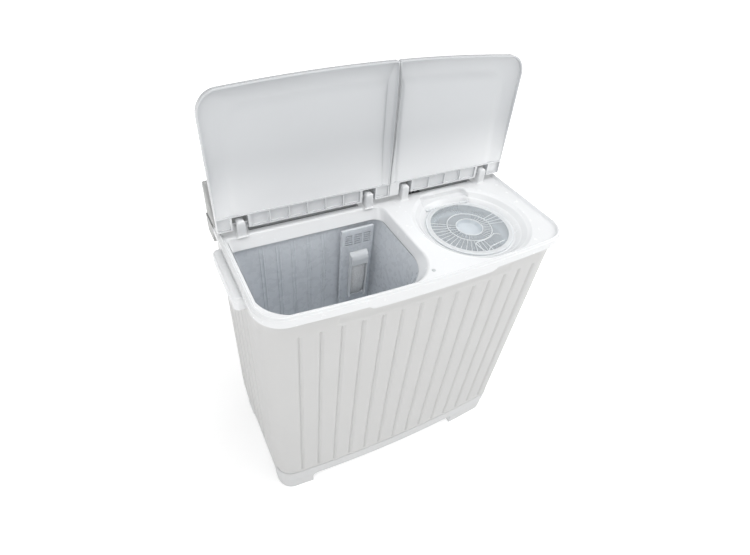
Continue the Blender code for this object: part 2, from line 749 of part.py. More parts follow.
# ---- wash side ---------------------------------------------------------------------------------------
def tub_ring(z, inset):
    """The tub's inside at a height: its front wall draws in the most and its back wall the least."""
    left, right = WASH_X
    front = inset * 1.3
    back = WASH_BACK + 0.008 - inset * 0.6
    corners = [
        (left + inset, WASH_FRONT[0] + front),
        (right - inset, WASH_FRONT[1] + front),
        (right - inset, back),
        (left + inset, back),
    ]
    return flat_ring(rounded(corners, (0.085, 0.105, 0.018, 0.014)), z)


def make_wash_tub():
    """An open basin with a rounded floor, hung under the cover."""
    levels = [(TUB_BOTTOM, 0.045), (0.385, 0.030), (0.405, 0.020), (0.435, 0.015)]
    levels += [(0.700, 0.008), (MOUTH_Z - GAP, 0.0)]
    tub = add_part("wash_tub", loft([tub_ring(*level) for level in levels], True, False), "tub_grey")
    solidify(tub, offset=1.0)
    low, high = TUB_BOTTOM - 0.02, TUB_BOTTOM + 0.02
    cut(tub, add_tool("tub_shaft_hole", rod(0.018, (*PULSATOR_XY, low), (*PULSATOR_XY, high), 20)))
    cut(tub, add_tool("tub_drain_hole", rod(0.014, (*DRAIN_XY, low), (*DRAIN_XY, high), 16)))


def make_pulsator():
    """A shallow cone with four vanes, on its own shaft with the driven pulley."""
    x, y = PULSATOR_XY
    sides = 32
    z0 = TUB_BOTTOM + 0.008
    rings = []
    for radius, height, lift in (
        (0.088, 0.0, 0.0),
        (0.095, 0.003, 0.0),
        (0.093, 0.006, 0.002),
        (0.070, 0.010, 0.012),
        (0.035, 0.016, 0.010),
        (0.016, 0.020, 0.0),
    ):
        ring = []
        for k in range(sides):
            angle = 2 * math.pi * k / sides
            wave = max(0.0, math.cos(4 * angle)) ** 2
            ring.append((radius * math.cos(angle), radius * math.sin(angle), height + lift * wave))
        rings.append(ring)
    pulsator = add_part("pulsator", loft(rings), "cover_white", (x, y, z0))
    tool = add_tool("pulsator_bore", rod(0.006 + GAP, (0, 0, -0.01), (0, 0, 0.0125), 16), (x, y, z0))
    cut(pulsator, tool)
    tool = add_tool("pulsator_screw_seat", rod(0.0025 + GAP, (0, 0, 0.005), (0, 0, 0.03), 12), (x, y, z0))
    cut(pulsator, tool)
    profile = [(0, 0.0035), (0.0060, 0.0025), (0.0070, 0.0), (0.0025, 0.0), (0.0025, -0.0070), (0, -0.0070)]
    turned("pulsator_screw", profile, "steel", (x, y, z0 + 0.020 + GAP), 12, closed=False)
    shaft = [(0, 0.395), (0.006, 0.395), (0.006, 0.262), (0, 0.262)]
    turned("pulsator_shaft", shaft, "steel", (x, y, 0), 16, closed=False)
    bore = 0.006 + GAP
    pulley = [(bore, PULLEY_HALF), *pulley_rim(DRIVEN_RADIUS, 0.0), (bore, -PULLEY_HALF)]
    turned("driven_pulley", pulley, "black_plastic", (x, y, BELT_Z), 28)
    housing = [(0.0175, 0.380), (0.0175, TUB_BOTTOM - WALL - GAP), (0.045, TUB_BOTTOM - WALL - GAP)]
    housing += [(0.045, 0.362), (0.024, 0.352), (0.020, 0.303), (0.006 + GAP, 0.303), (0.006 + GAP, 0.380)]
    turned("pulsator_bearing_housing", housing, "motor_metal", (x, y, 0), 24)


def pulley_rim(radius, middle):
    """The grooved outer side of a pulley, top to bottom."""
    steps = [(0.0, 0.009), (0.0, 0.007), (GROOVE_IN, 0.003)]
    steps += [(inward, -height) for inward, height in reversed(steps)]
    return [(radius - inward, middle + height) for inward, height in steps]


def make_wash_drive():
    x, y = WASH_MOTOR_XY
    base = FLOOR_Z + GAP
    plate = box((x - 0.045, y - 0.07, base), (x + 0.08, y + 0.07, base + 0.003))
    bracket = add_part("wash_motor_bracket", plate, "steel")
    feet = [(x + a, y + b) for a in (-0.034, 0.034) for b in (-0.030, 0.030)]
    posts = [rod(0.006, (*foot, base + 0.002), (*foot, WASH_MOTOR_BOTTOM - GAP), 12) for foot in feet]
    join(bracket, add_tool("bracket_posts", merged(*posts)))
    bottom = WASH_MOTOR_BOTTOM
    body = [(0, 0.262), (0.016, 0.262), (0.018, 0.250), (0.040, 0.244), (0.052, 0.234), (0.055, 0.224)]
    body += [(0.055, bottom + 0.018), (0.052, bottom + 0.008), (0.048, bottom), (0, bottom)]
    motor = turned("wash_motor", body, "motor_metal", (x, y, 0), 20, closed=False)
    cut(motor, add_tool("wash_motor_bore", rod(0.004 + GAP, (x, y, 0.235), (x, y, 0.27), 12)))
    profile = [(0, 0.298), (0.004, 0.298), (0.004, BELT_Z + PULLEY_HALF), *pulley_rim(DRIVER_RADIUS, BELT_Z)]
    profile += [(0.004, BELT_Z - PULLEY_HALF), (0.004, 0.240), (0, 0.240)]
    turned("wash_motor_pulley", profile, "steel", (x, y, 0), 20, closed=False)


def round_both(a, small, b, large, steps=(8, 22)):
    """The tangent loop round two circles in plan, anticlockwise."""
    a, b = Vector(a), Vector(b)
    along = b - a
    heading = math.degrees(math.atan2(along.y, along.x))
    tilt = math.degrees(math.acos((small - large) / along.length))
    loop = arc(b, large, heading - tilt, heading + tilt, steps[1])
    return loop + arc(a, small, heading + tilt, heading + 360 - tilt, steps[0])


def make_belt():
    """A loop in the pulleys' grooves, a little clear of both."""
    loops = []
    for outward in (GAP * 2, 0.003):
        small, large = (radius - GROOVE_IN + outward for radius in (DRIVER_RADIUS, DRIVEN_RADIUS))
        loops.append(round_both(WASH_MOTOR_XY, small, PULSATOR_XY, large))
    inner, outer = loops
    low, high = BELT_Z - 0.0024, BELT_Z + 0.0024
    rings = [flat_ring(outer, low), flat_ring(outer, high), flat_ring(inner, high), flat_ring(inner, low)]
    body = loft([*rings, rings[0]], False, False)
    bmesh.ops.remove_doubles(body, verts=body.verts, dist=0.00001)
    add_part("drive_belt", body, "rubber_black")


def make_filter():
    """The overflow panel on the tub's back wall, and the lint filter that lifts out of it."""
    low, high = 0.470, 0.735
    panel = add_part("overflow_panel", box((-0.104, 0.0640, low), (-0.012, 0.0705, high)), "tub_grey")
    slots = []
    for column in (-0.090, -0.063, -0.036):
        for row in range(4):
            z = 0.722 - row * 0.009
            slots.append(box((column, 0.060, z - 0.004), (column + 0.018, 0.068, z)))
    cut(panel, add_tool("overflow_slots", merged(*slots)))
    hollow = box((-0.0845, 0.062, 0.502), (-0.0255, 0.0675, 0.672))
    cut(panel, add_tool("overflow_recess", hollow))
    body = box((-0.080, 0.0450, 0.510), (-0.030, 0.0640 - GAP, 0.664))
    lint = add_part("lint_filter", body, "clear_plastic")
    bevel = lint.modifiers.new("edges", "BEVEL")
    bevel.width = 0.005
    bevel.segments = 2
    bag = box((-0.076, 0.0470, 0.520), (-0.034, 0.0700, 0.640))
    cut(lint, add_tool("lint_hollow", bag))


# ---- spin side ---------------------------------------------------------------------------------------
def make_spin_tub():
    x, y = SPIN_XY
    outer, top, bottom = SPIN_TUB_RADIUS, 0.740 - GAP, SPIN_TUB_BOTTOM
    profile = [(outer - WALL, top), (outer, top), (outer, bottom + 0.010), (outer - 0.010, bottom)]
    profile += [(0.022, bottom), (0.022, bottom + WALL), (outer - 0.012, bottom + WALL)]
    profile.append((outer - WALL, bottom + 0.012))
    turned("spin_tub", profile, "tub_grey", (x, y, 0), 32)
    seal = [(0.006 + GAP, 0.388), (0.010, 0.388), (0.016, 0.380), (0.025, SPIN_TUB_BOTTOM + WALL + GAP)]
    seal += [(0.022 - GAP, SPIN_TUB_BOTTOM + WALL + GAP), (0.022 - GAP, 0.362), (0.006 + GAP, 0.362)]
    turned("spin_shaft_seal", seal, "rubber_black", (x, y, 0), 24)


def make_basket():
    """The perforated drum, with an inward lip at the top and a raised hub in its floor."""
    x, y = SPIN_XY
    low, high = BASKET_Z
    inner = BASKET_RADIUS - 0.010
    profile = [(0.030, low + 0.010, False), (0.040, low, False), (inner, low, False)]
    profile.append((BASKET_RADIUS, low + 0.012, False))
    for row in range(BASKET_ROWS):
        z = low + 0.070 + row * 0.080
        profile += [(BASKET_RADIUS, z, True), (BASKET_RADIUS, z + 0.012, False)]
    profile += [(BASKET_RADIUS, high - 0.010, False), (BASKET_RADIUS - 0.004, high - 0.002, False)]
    profile += [(BASKET_RADIUS - 0.012, high, False), (0.094, high - 0.004, False)]
    body = bmesh.new()
    loops = []
    for radius, z, _ in profile:
        loops.append([body.verts.new((*at, z)) for at in arc((0, 0), radius, 0, 348.75, 31)])
    body.faces.new(reversed(loops[0]))
    for (_, _, slotted), lower, upper in zip(profile, loops, loops[1:]):
        for k, here in enumerate(lower):
            j = (k + 1) % len(lower)
            if not (slotted and k % 4 == 0):
                body.faces.new((here, lower[j], upper[j], upper[k]))
    basket = add_part("spin_basket", body, "basket_white", (x, y, 0))
    solidify(basket, 0.002)
    bore = rod(SHAFT_RADIUS + GAP, (0, 0, low - 0.01), (0, 0, low + 0.02), 16)
    cut(basket, add_tool("basket_bore", bore, (x, y, 0)))
    shaft = [(0, low + 0.030), (SHAFT_RADIUS, low + 0.030), (SHAFT_RADIUS, 0.240), (0, 0.240)]
    turned("spin_shaft", shaft, "steel", (x, y, 0), 16, closed=False)
    bottom, top = DRUM_Z
    bore = SHAFT_RADIUS + GAP
    drum = [(bore, top), (DRUM_RADIUS, top), (DRUM_RADIUS, bottom), (DRUM_RADIUS - 0.004, bottom)]
    drum += [(DRUM_RADIUS - 0.004, top - 0.004), (0.016, top - 0.004)]
    drum += [(0.016, bottom - 0.010), (bore, bottom - 0.010)]
    turned("brake_drum", drum, "motor_metal", (x, y, 0), 28)


SPRING_CIRCLE = 0.068
SPRING_BOTTOM, SPRING_TOP = FLOOR_Z + GAP, 0.100


def make_spin_motor():
    x, y = SPIN_XY
    low, high = SPRING_TOP + GAP, SPRING_TOP + GAP + 0.004
    plate = [(0, high), (0.085, high), (0.085, low), (0, low)]
    turned("spin_motor_plate", plate, "steel", (x, y, 0), 32, closed=False)
    bottom = high + GAP
    body = [(0, SPIN_MOTOR_TOP), (0.018, SPIN_MOTOR_TOP), (0.020, 0.262)]
    body += [(0.046, 0.256), (0.059, 0.244), (0.062, 0.232)]
    body += [(0.062, bottom + 0.020), (0.058, bottom + 0.008), (0.052, bottom), (0, bottom)]
    motor = turned("spin_motor", body, "motor_metal", (x, y, 0), 24, closed=False)
    cut(motor, add_tool("spin_motor_bore", rod(0.006 + GAP, (x, y, 0.235), (x, y, 0.28), 16)))
    for n, place in enumerate(arc((x, y), SPRING_CIRCLE, 90, 330, 2), 1):
        make_spring(f"spin_mount_spring_{n}", place)


def make_spring(name, place, turns=3.5, radius=0.0115, wire=0.0014):
    """A coil between the base tray and the motor's plate, with both ends open."""
    curve = bpy.data.curves.new(name, "CURVE")
    curve.dimensions = "3D"
    curve.bevel_depth = wire
    curve.bevel_resolution = 2
    curve.use_fill_caps = True
    per_turn = 8
    count = int(turns * per_turn) + 1
    line = curve.splines.new("POLY")
    line.points.add(count - 1)
    low, high = SPRING_BOTTOM + wire * 1.1, SPRING_TOP - wire * 1.1
    for i in range(count):
        angle = 2 * math.pi * i / per_turn
        height = low + (high - low) * i / (count - 1)
        line.points[i].co = (radius * math.cos(angle), radius * math.sin(angle), height, 1)
    curve.materials.append(MATERIALS["steel"])
    spring = bpy.data.objects.new(name, curve)
    PARTS.objects.link(spring)
    spring.location = (*place, 0)


def make_brake():
    """A lever with a pad beside the drum, on a post that stands on the motor's top."""
    x, y = SPIN_XY
    face = x - DRUM_RADIUS - GAP
    px, py = face - 0.009, y + 0.048
    low, high = 0.303, 0.321
    arm = rounded([(-0.006, -0.085), (0.004, -0.085), (0.004, 0.008), (-0.006, 0.008)], (0.003,) * 4, 2)
    lever = add_part("brake_lever", prism(arm, low, high), "steel", (px, py, 0))
    pad = box((0.002, -0.060, low + 0.002), (0.009, -0.036, high - 0.002))
    join(lever, add_tool("brake_pad_block", pad, (px, py, 0)))
    post = 0.0030
    bore = rod(post + GAP, (0, 0, low - 0.01), (0, 0, high + 0.01), 12)
    cut(lever, add_tool("brake_lever_bore", bore, (px, py, 0)))
    seat = SPIN_MOTOR_TOP + GAP
    plate = prism(round_both((px, py), 0.010, (x, y), 0.018, (6, 8)), seat, seat + 0.003)
    bracket = add_part("brake_bracket", plate, "steel")
    join(bracket, add_tool("brake_post_foot", rod(0.0065, (px, py, seat + 0.001), (px, py, low - GAP), 12)))
    join(bracket, add_tool("brake_post", rod(post, (px, py, seat + 0.001), (px, py, high + 0.004), 12)))
    bore = rod(SHAFT_RADIUS + 0.002, (x, y, seat - 0.01), (x, y, seat + 0.01), 16)
    cut(bracket, add_tool("brake_bracket_bore", bore))


# ---- drain and electrics -------------------------------------------------------------------------------
def make_drain():
    """The valve under the tub with its plunger, and the outlet at the back for the drain hose."""
    x, y = DRAIN_XY
    top = TUB_BOTTOM - WALL - GAP
    profile = [(0.0110, TUB_BOTTOM), (0.0134, TUB_BOTTOM), (0.0134, top), (0.022, top), (0.022, 0.318)]
    profile.append((0.0110, 0.318))
    body = turned("drain_valve_body", profile, "black_plastic", (x, y, 0), 24)
    join(body, add_tool("drain_port", rod(0.0105, (x, y + 0.018, 0.332), (x, y + 0.060, 0.332), 16)))
    cut(body, add_tool("drain_port_bore", rod(0.0080, (x, y + 0.005, 0.332), (x, y + 0.070, 0.332), 16)))
    plunger = [(0, 0.372), (0.0100, 0.372), (0.0100, 0.366), (0.004, 0.362), (0.004, 0.304), (0, 0.304)]
    turned("drain_plunger", plunger, "rubber_black", (x, y, 0), 16, closed=False)
    spigot = [(0.0100, 0.0115), (0.0130, 0.0115), (0.0130, 0.0028), (0.0160, 0.0028), (0.0160, GAP)]
    spigot += [(0.0130, GAP), (0.0130, -0.0200), (0.0100, -0.0200)]
    outlet = turned("drain_outlet", spigot, "black_plastic", (OUTLET_XZ[0], CABINET_BACK, OUTLET_XZ[1]), 16)
    outlet.rotation_euler.x = FACE_BACK


def make_gland():
    """The grommet that the mains cord leaves through."""
    profile = [(0.0040, 0.0080), (0.0095, 0.0080), (0.0095, GAP), (0.0070, GAP), (0.0070, -0.0060)]
    profile.append((0.0040, -0.0060))
    gland = turned("cable_gland", profile, "rubber_black", (GLAND_XZ[0], CABINET_BACK, GLAND_XZ[1]), 12)
    gland.rotation_euler.x = FACE_BACK


def make_capacitor():
    profile = [(0, 0.062), (0.018, 0.062), (0.020, 0.060), (0.020, 0.0), (0, 0.0)]
    turned("run_capacitor", profile, "motor_metal", (0.020, 0.120, FLOOR_Z + GAP), 20, closed=False)


def make_rear_cover():
    y = CABINET_BACK + GAP
    z = SERVICE_Z
    plate = box((-0.315, y, z[0] - 0.005), (0.315, y + 0.002, z[1] + 0.005))
    cover = add_part("rear_service_cover", plate, "cabinet_white")
    slots = []
    for x in (-0.20, 0.20):
        for row in range(6):
            low = 0.220 + row * 0.020
            slots.append(box((x - 0.060, y - 0.01, low), (x + 0.060, y + 0.01, low + 0.007)))
    cut(cover, add_tool("rear_vents", merged(*slots)))
    cut(cover, add_tool("rear_screw_holes", back_screw_holes(0.0025)))
    head = [(0, 0.0022), (0.0030, 0.0018), (0.0045, 0.0), (0.0020, 0.0), (0.0020, -0.0075), (0, -0.0075)]
    for n, (x, height) in enumerate(COVER_SCREWS, 1):
        screw = turned(f"rear_cover_screw_{n}", head, "steel", (x, y + 0.002 + GAP, height), 10, closed=False)
        screw.rotation_euler.x = FACE_BACK


def main():
    make_base()
    make_cabinet()
    make_rear_cover()
    make_top_cover()
    make_bumper_plug()
    make_console()
    make_control_panel()
    make_controls()
    make_inlet()
    make_lids()
    make_inner_cover()
    make_handles()
    make_wash_tub()
    make_pulsator()
    make_wash_drive()
    make_belt()
    make_filter()
    make_spin_tub()
    make_basket()
    make_spin_motor()
    make_brake()
    make_drain()
    make_gland()
    make_capacitor()


main()
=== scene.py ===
import math

import bmesh
import bpy
from mathutils import Matrix, Vector
from mathutils.geometry import delaunay_2d_cdt


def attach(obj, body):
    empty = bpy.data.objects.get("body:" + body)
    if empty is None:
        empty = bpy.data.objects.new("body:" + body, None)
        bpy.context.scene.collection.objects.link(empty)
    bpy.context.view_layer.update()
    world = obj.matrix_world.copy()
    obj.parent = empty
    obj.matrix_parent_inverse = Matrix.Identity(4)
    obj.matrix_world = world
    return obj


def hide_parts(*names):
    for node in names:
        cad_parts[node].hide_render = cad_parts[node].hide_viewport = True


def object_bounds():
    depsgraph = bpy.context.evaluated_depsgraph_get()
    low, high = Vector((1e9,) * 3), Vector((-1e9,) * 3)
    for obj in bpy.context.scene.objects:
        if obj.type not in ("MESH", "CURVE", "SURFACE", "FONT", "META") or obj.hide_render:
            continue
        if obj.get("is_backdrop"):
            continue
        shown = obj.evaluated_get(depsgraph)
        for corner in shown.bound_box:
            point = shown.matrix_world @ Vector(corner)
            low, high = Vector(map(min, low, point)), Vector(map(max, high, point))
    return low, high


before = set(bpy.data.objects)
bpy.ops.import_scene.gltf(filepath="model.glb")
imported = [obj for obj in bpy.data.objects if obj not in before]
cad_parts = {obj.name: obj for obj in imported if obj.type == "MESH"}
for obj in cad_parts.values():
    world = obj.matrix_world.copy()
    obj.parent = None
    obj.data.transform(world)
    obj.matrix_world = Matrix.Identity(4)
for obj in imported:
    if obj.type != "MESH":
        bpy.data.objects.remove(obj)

FIRST_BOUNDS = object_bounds()

# ---- dimensions, in metres, in the machine's frame -----------------------------------------------
RIM_HALF, RIM_FRONT, RIM_BOW, RIM_BACK = 0.4, -0.1954, 0.019, 0.2144
RIM_CORNERS = (0.068, 0.045)
DECK_Z = 0.77
LIP_HALF, LIP_DROP = 0.16, 0.0087
CONSOLE_FOOT_Y = 0.1437

CABINET_HALF, CABINET_FRONT, CABINET_BOW, CABINET_BACK = 0.391, -0.182, 0.02, 0.2014
CABINET_BOTTOM, CABINET_TOP, CABINET_TAPER = 0.1, 0.7511, 0.006
FRONT_GROOVES, FRONT_PITCH = 14, 0.0487
SIDE_GROOVES, SIDE_PITCH, SIDE_FIRST = 5, 0.045, -0.038
GROOVE_HALF, GROOVE_DEPTH = 0.0065, 0.0044
GROOVE_Z = (0.108, 0.702)
CABINET_CORNERS = (0.062, 0.024)
BASE_CORNERS = (0.051, 0.03)
FEET_X, FEET_Y, ARCH_Z = (-0.282, 0.223), (-0.11, 0.12), 0.045
COLLAR_Z = 0.715
WINDOW_X, WINDOW_Z = 0.29, (0.19, 0.62)
OUTLET_XZ, GLAND_XZ = (-0.34, 0.15), (0.34, 0.18)

WASH_X, WASH_BACK, WASH_FRONT = (-0.381, 0.01), 0.077, (-0.181, -0.198)
WASH_RADII = (0.085, 0.108, 0.0275, 0.01)
FUNNEL_CORNERS = [(-0.387, -0.186), (0.018, -0.2035), (0.018, 0.096), (-0.387, 0.096)]
FUNNEL_RADII = (0.089, 0.085, 0.0315, 0.014)
MOUTH_Z = 0.744
TUB_BOTTOM = 0.375
TUB_RIBS = (-0.309, -0.267, -0.228, -0.186, -0.1465)
PULSATOR_XY, DRAIN_XY = (-0.187, -0.037), (-0.075, 0.02)

SPIN_XY = (0.205, -0.048)
INNER_LOW = 0.7443
INNER_HINGE = 0.102
BASKET_RADIUS, BASKET_Z = 0.115, (0.405, 0.722)

HINGE_Y, HINGE_Z, LEAN = 0.105, 0.8, math.radians(3.3)
LID_SPLIT, LID_REACH, LID_HEEL = 0.0435, 0.295, 0.014
LID_LOW, LID_HIGH = -0.006, 0.012
STRIP = 0.0225
EARS_WASH, EARS_SPIN = (-0.345, -0.016), (0.09, 0.338)
EAR_HALF, NOTCH_HALF = 0.01, 0.0185

PANEL_LOW, PANEL_HIGH = (0.149, 0.802), (0.195, 0.86)
CONSOLE_HALF = 0.398
KNOB_X = {"wash_timer": -0.22, "drain_selector": 0.0, "spin_timer": 0.22}
INLET_X, INLET_Z = -0.3, 0.82
PLUG_XY = (0.006, -0.179)

HANDLE_REACH, HANDLE_Y, HANDLE_Z = 0.42, (-0.083, 0.097), (0.716, 0.7484)


# ---- materials -------------------------------------------------------------------------------------
def node(tree, kind, sockets, **settings):
    """A shader node with its settings; each socket is given a value or another node's output."""
    made = tree.nodes.new(kind)
    for setting, value in settings.items():
        setattr(made, setting, value)
    for socket, value in sockets.items():
        if isinstance(value, bpy.types.NodeSocket):
            tree.links.new(value, made.inputs[socket])
        else:
            made.inputs[socket].default_value = value
    return made


def new_surface(name):
    """An empty node material with its Principled shader and object coordinates."""
    surface = bpy.data.materials.new(name)
    surface.use_nodes = True
    tree = surface.node_tree
    shader = tree.nodes["Principled BSDF"]
    place = tree.nodes.new("ShaderNodeTexCoord")
    return surface, tree, shader, place.outputs["Object"]


def noise_at(tree, place, scale, detail=3.0, stretch=(1, 1, 1)):
    mapping = node(tree, "ShaderNodeMapping", {"Scale": stretch, "Vector": place})
    sockets = {"Scale": scale, "Detail": detail, "Vector": mapping.outputs["Vector"]}
    return node(tree, "ShaderNodeTexNoise", sockets).outputs["Fac"]


def ranged(tree, value, low, high, ends=(0.3, 0.7), kind="LINEAR"):
    """A value spread between two others; a noise value lies mostly between the default ends."""
    sockets = {"From Min": ends[0], "From Max": ends[1], "To Min": low, "To Max": high, "Value": value}
    return node(tree, "ShaderNodeMapRange", sockets, interpolation_type=kind).outputs["Result"]


def tinted(tree, factor, dark, light):
    """A colour between two by a factor."""
    first, second = (c if isinstance(c, bpy.types.NodeSocket) else (*c, 1.0) for c in (dark, light))
    mix = node(tree, "ShaderNodeMix", {"A": first, "B": second, "Factor": factor}, data_type="RGBA")
    return mix.outputs["Result"]


def larger(tree, first, second):
    return node(tree, "ShaderNodeMath", {0: first, 1: second}, operation="MAXIMUM").outputs["Value"]


def mottled(tree, place, shader, scale, dark, light):
    """Colours a shader between two colours by a broad noise, and returns the noise."""
    broad = noise_at(tree, place, scale)
    tree.links.new(tinted(tree, ranged(tree, broad, 0.0, 1.0), dark, light), shader.inputs["Base Color"])
    return broad


def roughened(tree, shader, value, low, high):
    tree.links.new(ranged(tree, value, low, high), shader.inputs["Roughness"])


def bumped(tree, shader, height, strength, distance):
    bump = node(tree, "ShaderNodeBump", {"Strength": strength, "Distance": distance, "Height": height})
    tree.links.new(bump.outputs["Normal"], shader.inputs["Normal"])


def moulded(name, colour, roughness=0.35, vary=0.006, grain=700.0, relief=0.06, coat=0.0):
    """Moulded or painted plastic: faint mottling, fine grain and an uneven sheen."""
    surface, tree, shader, place = new_surface(name)
    dark = tuple(max(0.0, c - vary) for c in colour)
    light = tuple(min(1.0, c + vary) for c in colour)
    mottled(tree, place, shader, 9.0, dark, light)
    roughened(tree, shader, noise_at(tree, place, 60.0), roughness - 0.04, roughness + 0.04)
    bumped(tree, shader, noise_at(tree, place, grain, 2.0), relief, 0.0002)
    shader.inputs["Coat Weight"].default_value = coat
    return surface


def painted_bounce_light(surface, low, high, bounce_colour):
    """Paints reflected light from the deck onto the front face of a moulded plastic: paler towards its foot,
    between two heights.
    """
    tree = surface.node_tree
    shader = tree.nodes["Principled BSDF"]
    colour = shader.inputs["Base Color"].links[0].from_socket
    place = tree.nodes.new("ShaderNodeTexCoord")
    apart = node(tree, "ShaderNodeSeparateXYZ", {"Vector": place.outputs["Object"]})
    facing = node(tree, "ShaderNodeSeparateXYZ", {"Vector": place.outputs["Normal"]})
    height = ranged(tree, apart.outputs["Z"], 0.0, 1.0, (low, high), "SMOOTHSTEP")
    outside = ranged(tree, facing.outputs["Y"], 0.0, 1.0, (-0.4, 0.0))
    # painted bounce light: the paler colour low on front-facing faces, the plastic's own colour above and
    # elsewhere
    paint = tinted(tree, larger(tree, height, outside), bounce_colour, colour)
    tree.links.new(paint, shader.inputs["Base Color"])
    return surface


def metal(name, colour, roughness=0.3, stretch=(1, 1, 30), metallic=1.0):
    """Bare metal with fine drawn marks and some dulling."""
    surface, tree, shader, place = new_surface(name)
    shader.inputs["Metallic"].default_value = metallic
    mottled(tree, place, shader, 25.0, tuple(c * 0.86 for c in colour), colour)
    marks = noise_at(tree, place, 120.0, 4.0, stretch)
    roughened(tree, shader, marks, roughness - 0.08, roughness + 0.1)
    bumped(tree, shader, marks, 0.08, 0.0002)
    return surface


def milky(name, colour, cover, roughness=0.12):
    """Thin see-through plastic: part of the light passes straight through it."""
    surface, tree, shader, place = new_surface(name)
    broad = mottled(tree, place, shader, 14.0, tuple(c * 0.96 for c in colour), colour)
    roughened(tree, shader, noise_at(tree, place, 90.0), roughness, roughness + 0.06)
    bumped(tree, shader, noise_at(tree, place, 300.0, 2.0), 0.06, 0.0003)
    clear = node(tree, "ShaderNodeBsdfTransparent", {"Color": (0.93, 0.95, 0.96, 1.0)})
    share = ranged(tree, broad, cover - 0.03, cover + 0.03)
    sockets = {"Fac": share, 1: clear.outputs["BSDF"], 2: shader.outputs["BSDF"]}
    mix = node(tree, "ShaderNodeMixShader", sockets)
    tree.links.new(mix.outputs["Shader"], tree.nodes["Material Output"].inputs["Surface"])
    return surface


def netting(name, colour, pitch):
    """Fine moulded mesh: crossed strands with see-through holes between them."""
    surface, tree, shader, place = new_surface(name)
    shader.inputs["Roughness"].default_value = 0.5
    mottled(tree, place, shader, 40.0, tuple(c * 0.85 for c in colour), colour)
    strands = []
    for direction in ("X", "Z"):
        sockets = {"Scale": 1 / pitch, "Vector": place}
        strands.append(node(tree, "ShaderNodeTexWave", sockets, bands_direction=direction).outputs["Fac"])
    both = larger(tree, *strands)
    tree.links.new(ranged(tree, both, 0.35, 1.0, (0.45, 0.6)), shader.inputs["Alpha"])
    bumped(tree, shader, both, 0.4, 0.0005)
    return surface


FINISHES = {
    "cabinet_white": moulded("cabinet_white", (0.585, 0.585, 0.58), 0.42, 0.004, 260.0, 0.02),
    "base_white": moulded("base_white", (0.65, 0.655, 0.66), 0.5, 0.006, 220.0, 0.03),
    "cover_white": moulded("cover_white", (0.79, 0.8, 0.81), 0.24, 0.003, 120.0, 0.01),
    # Lids: painted bounce light, their front faces paler towards the hinge as if lit by the white deck below.
    "lid_white": painted_bounce_light(
        moulded("lid_white", (0.585, 0.6, 0.615), 0.2, 0.003, 120.0, 0.01), 0.8, 0.96, (0.86, 0.87, 0.88)
    ),
    "tub_grey": moulded("tub_grey", (0.66, 0.69, 0.725), 0.28, 0.003, 260.0, 0.006),
    "clear_plastic": milky("clear_plastic", (0.8, 0.84, 0.87), 0.3),
    "clear_hub": milky("clear_hub", (0.66, 0.71, 0.75), 0.86, 0.08),
    "clear_border": milky("clear_border", (0.93, 0.94, 0.95), 0.62, 0.1),
    "clear_edges": milky("clear_edges", (0.9, 0.92, 0.94), 0.72, 0.1),
    "console_grey": moulded("console_grey", (0.43, 0.435, 0.43), 0.4, 0.004, 220.0, 0.03),
    "filter_grey": moulded("filter_grey", (0.5, 0.52, 0.53), 0.4, 0.006),
    "filter_net": netting("filter_net", (0.9, 0.91, 0.91), 0.0016),
    "basket_white": moulded("basket_white", (0.62, 0.66, 0.69), 0.34, 0.006),
    "panel_grey": moulded("panel_grey", (0.2, 0.23, 0.27), 0.25, 0.008, coat=0.3),
    "panel_marks": moulded("panel_marks", (0.75, 0.77, 0.78), 0.4, 0.006),
    "knob_grey": moulded("knob_grey", (0.55, 0.58, 0.61), 0.28, 0.006),
    "rubber_black": moulded("rubber_black", (0.03, 0.03, 0.03), 0.75, 0.008, 350.0, 0.3),
    "black_plastic": moulded("black_plastic", (0.045, 0.045, 0.05), 0.45, 0.01),
    # A dark grey laid as painted shade in the hinge slots and the drain hole.
    "shadow_grey": moulded("shadow_grey", (0.1, 0.105, 0.11), 0.6, 0.015),
    "steel": metal("steel", (0.62, 0.62, 0.63), 0.28),
    "motor_metal": metal("motor_metal", (0.48, 0.49, 0.5), 0.42, (1, 1, 8)),
}


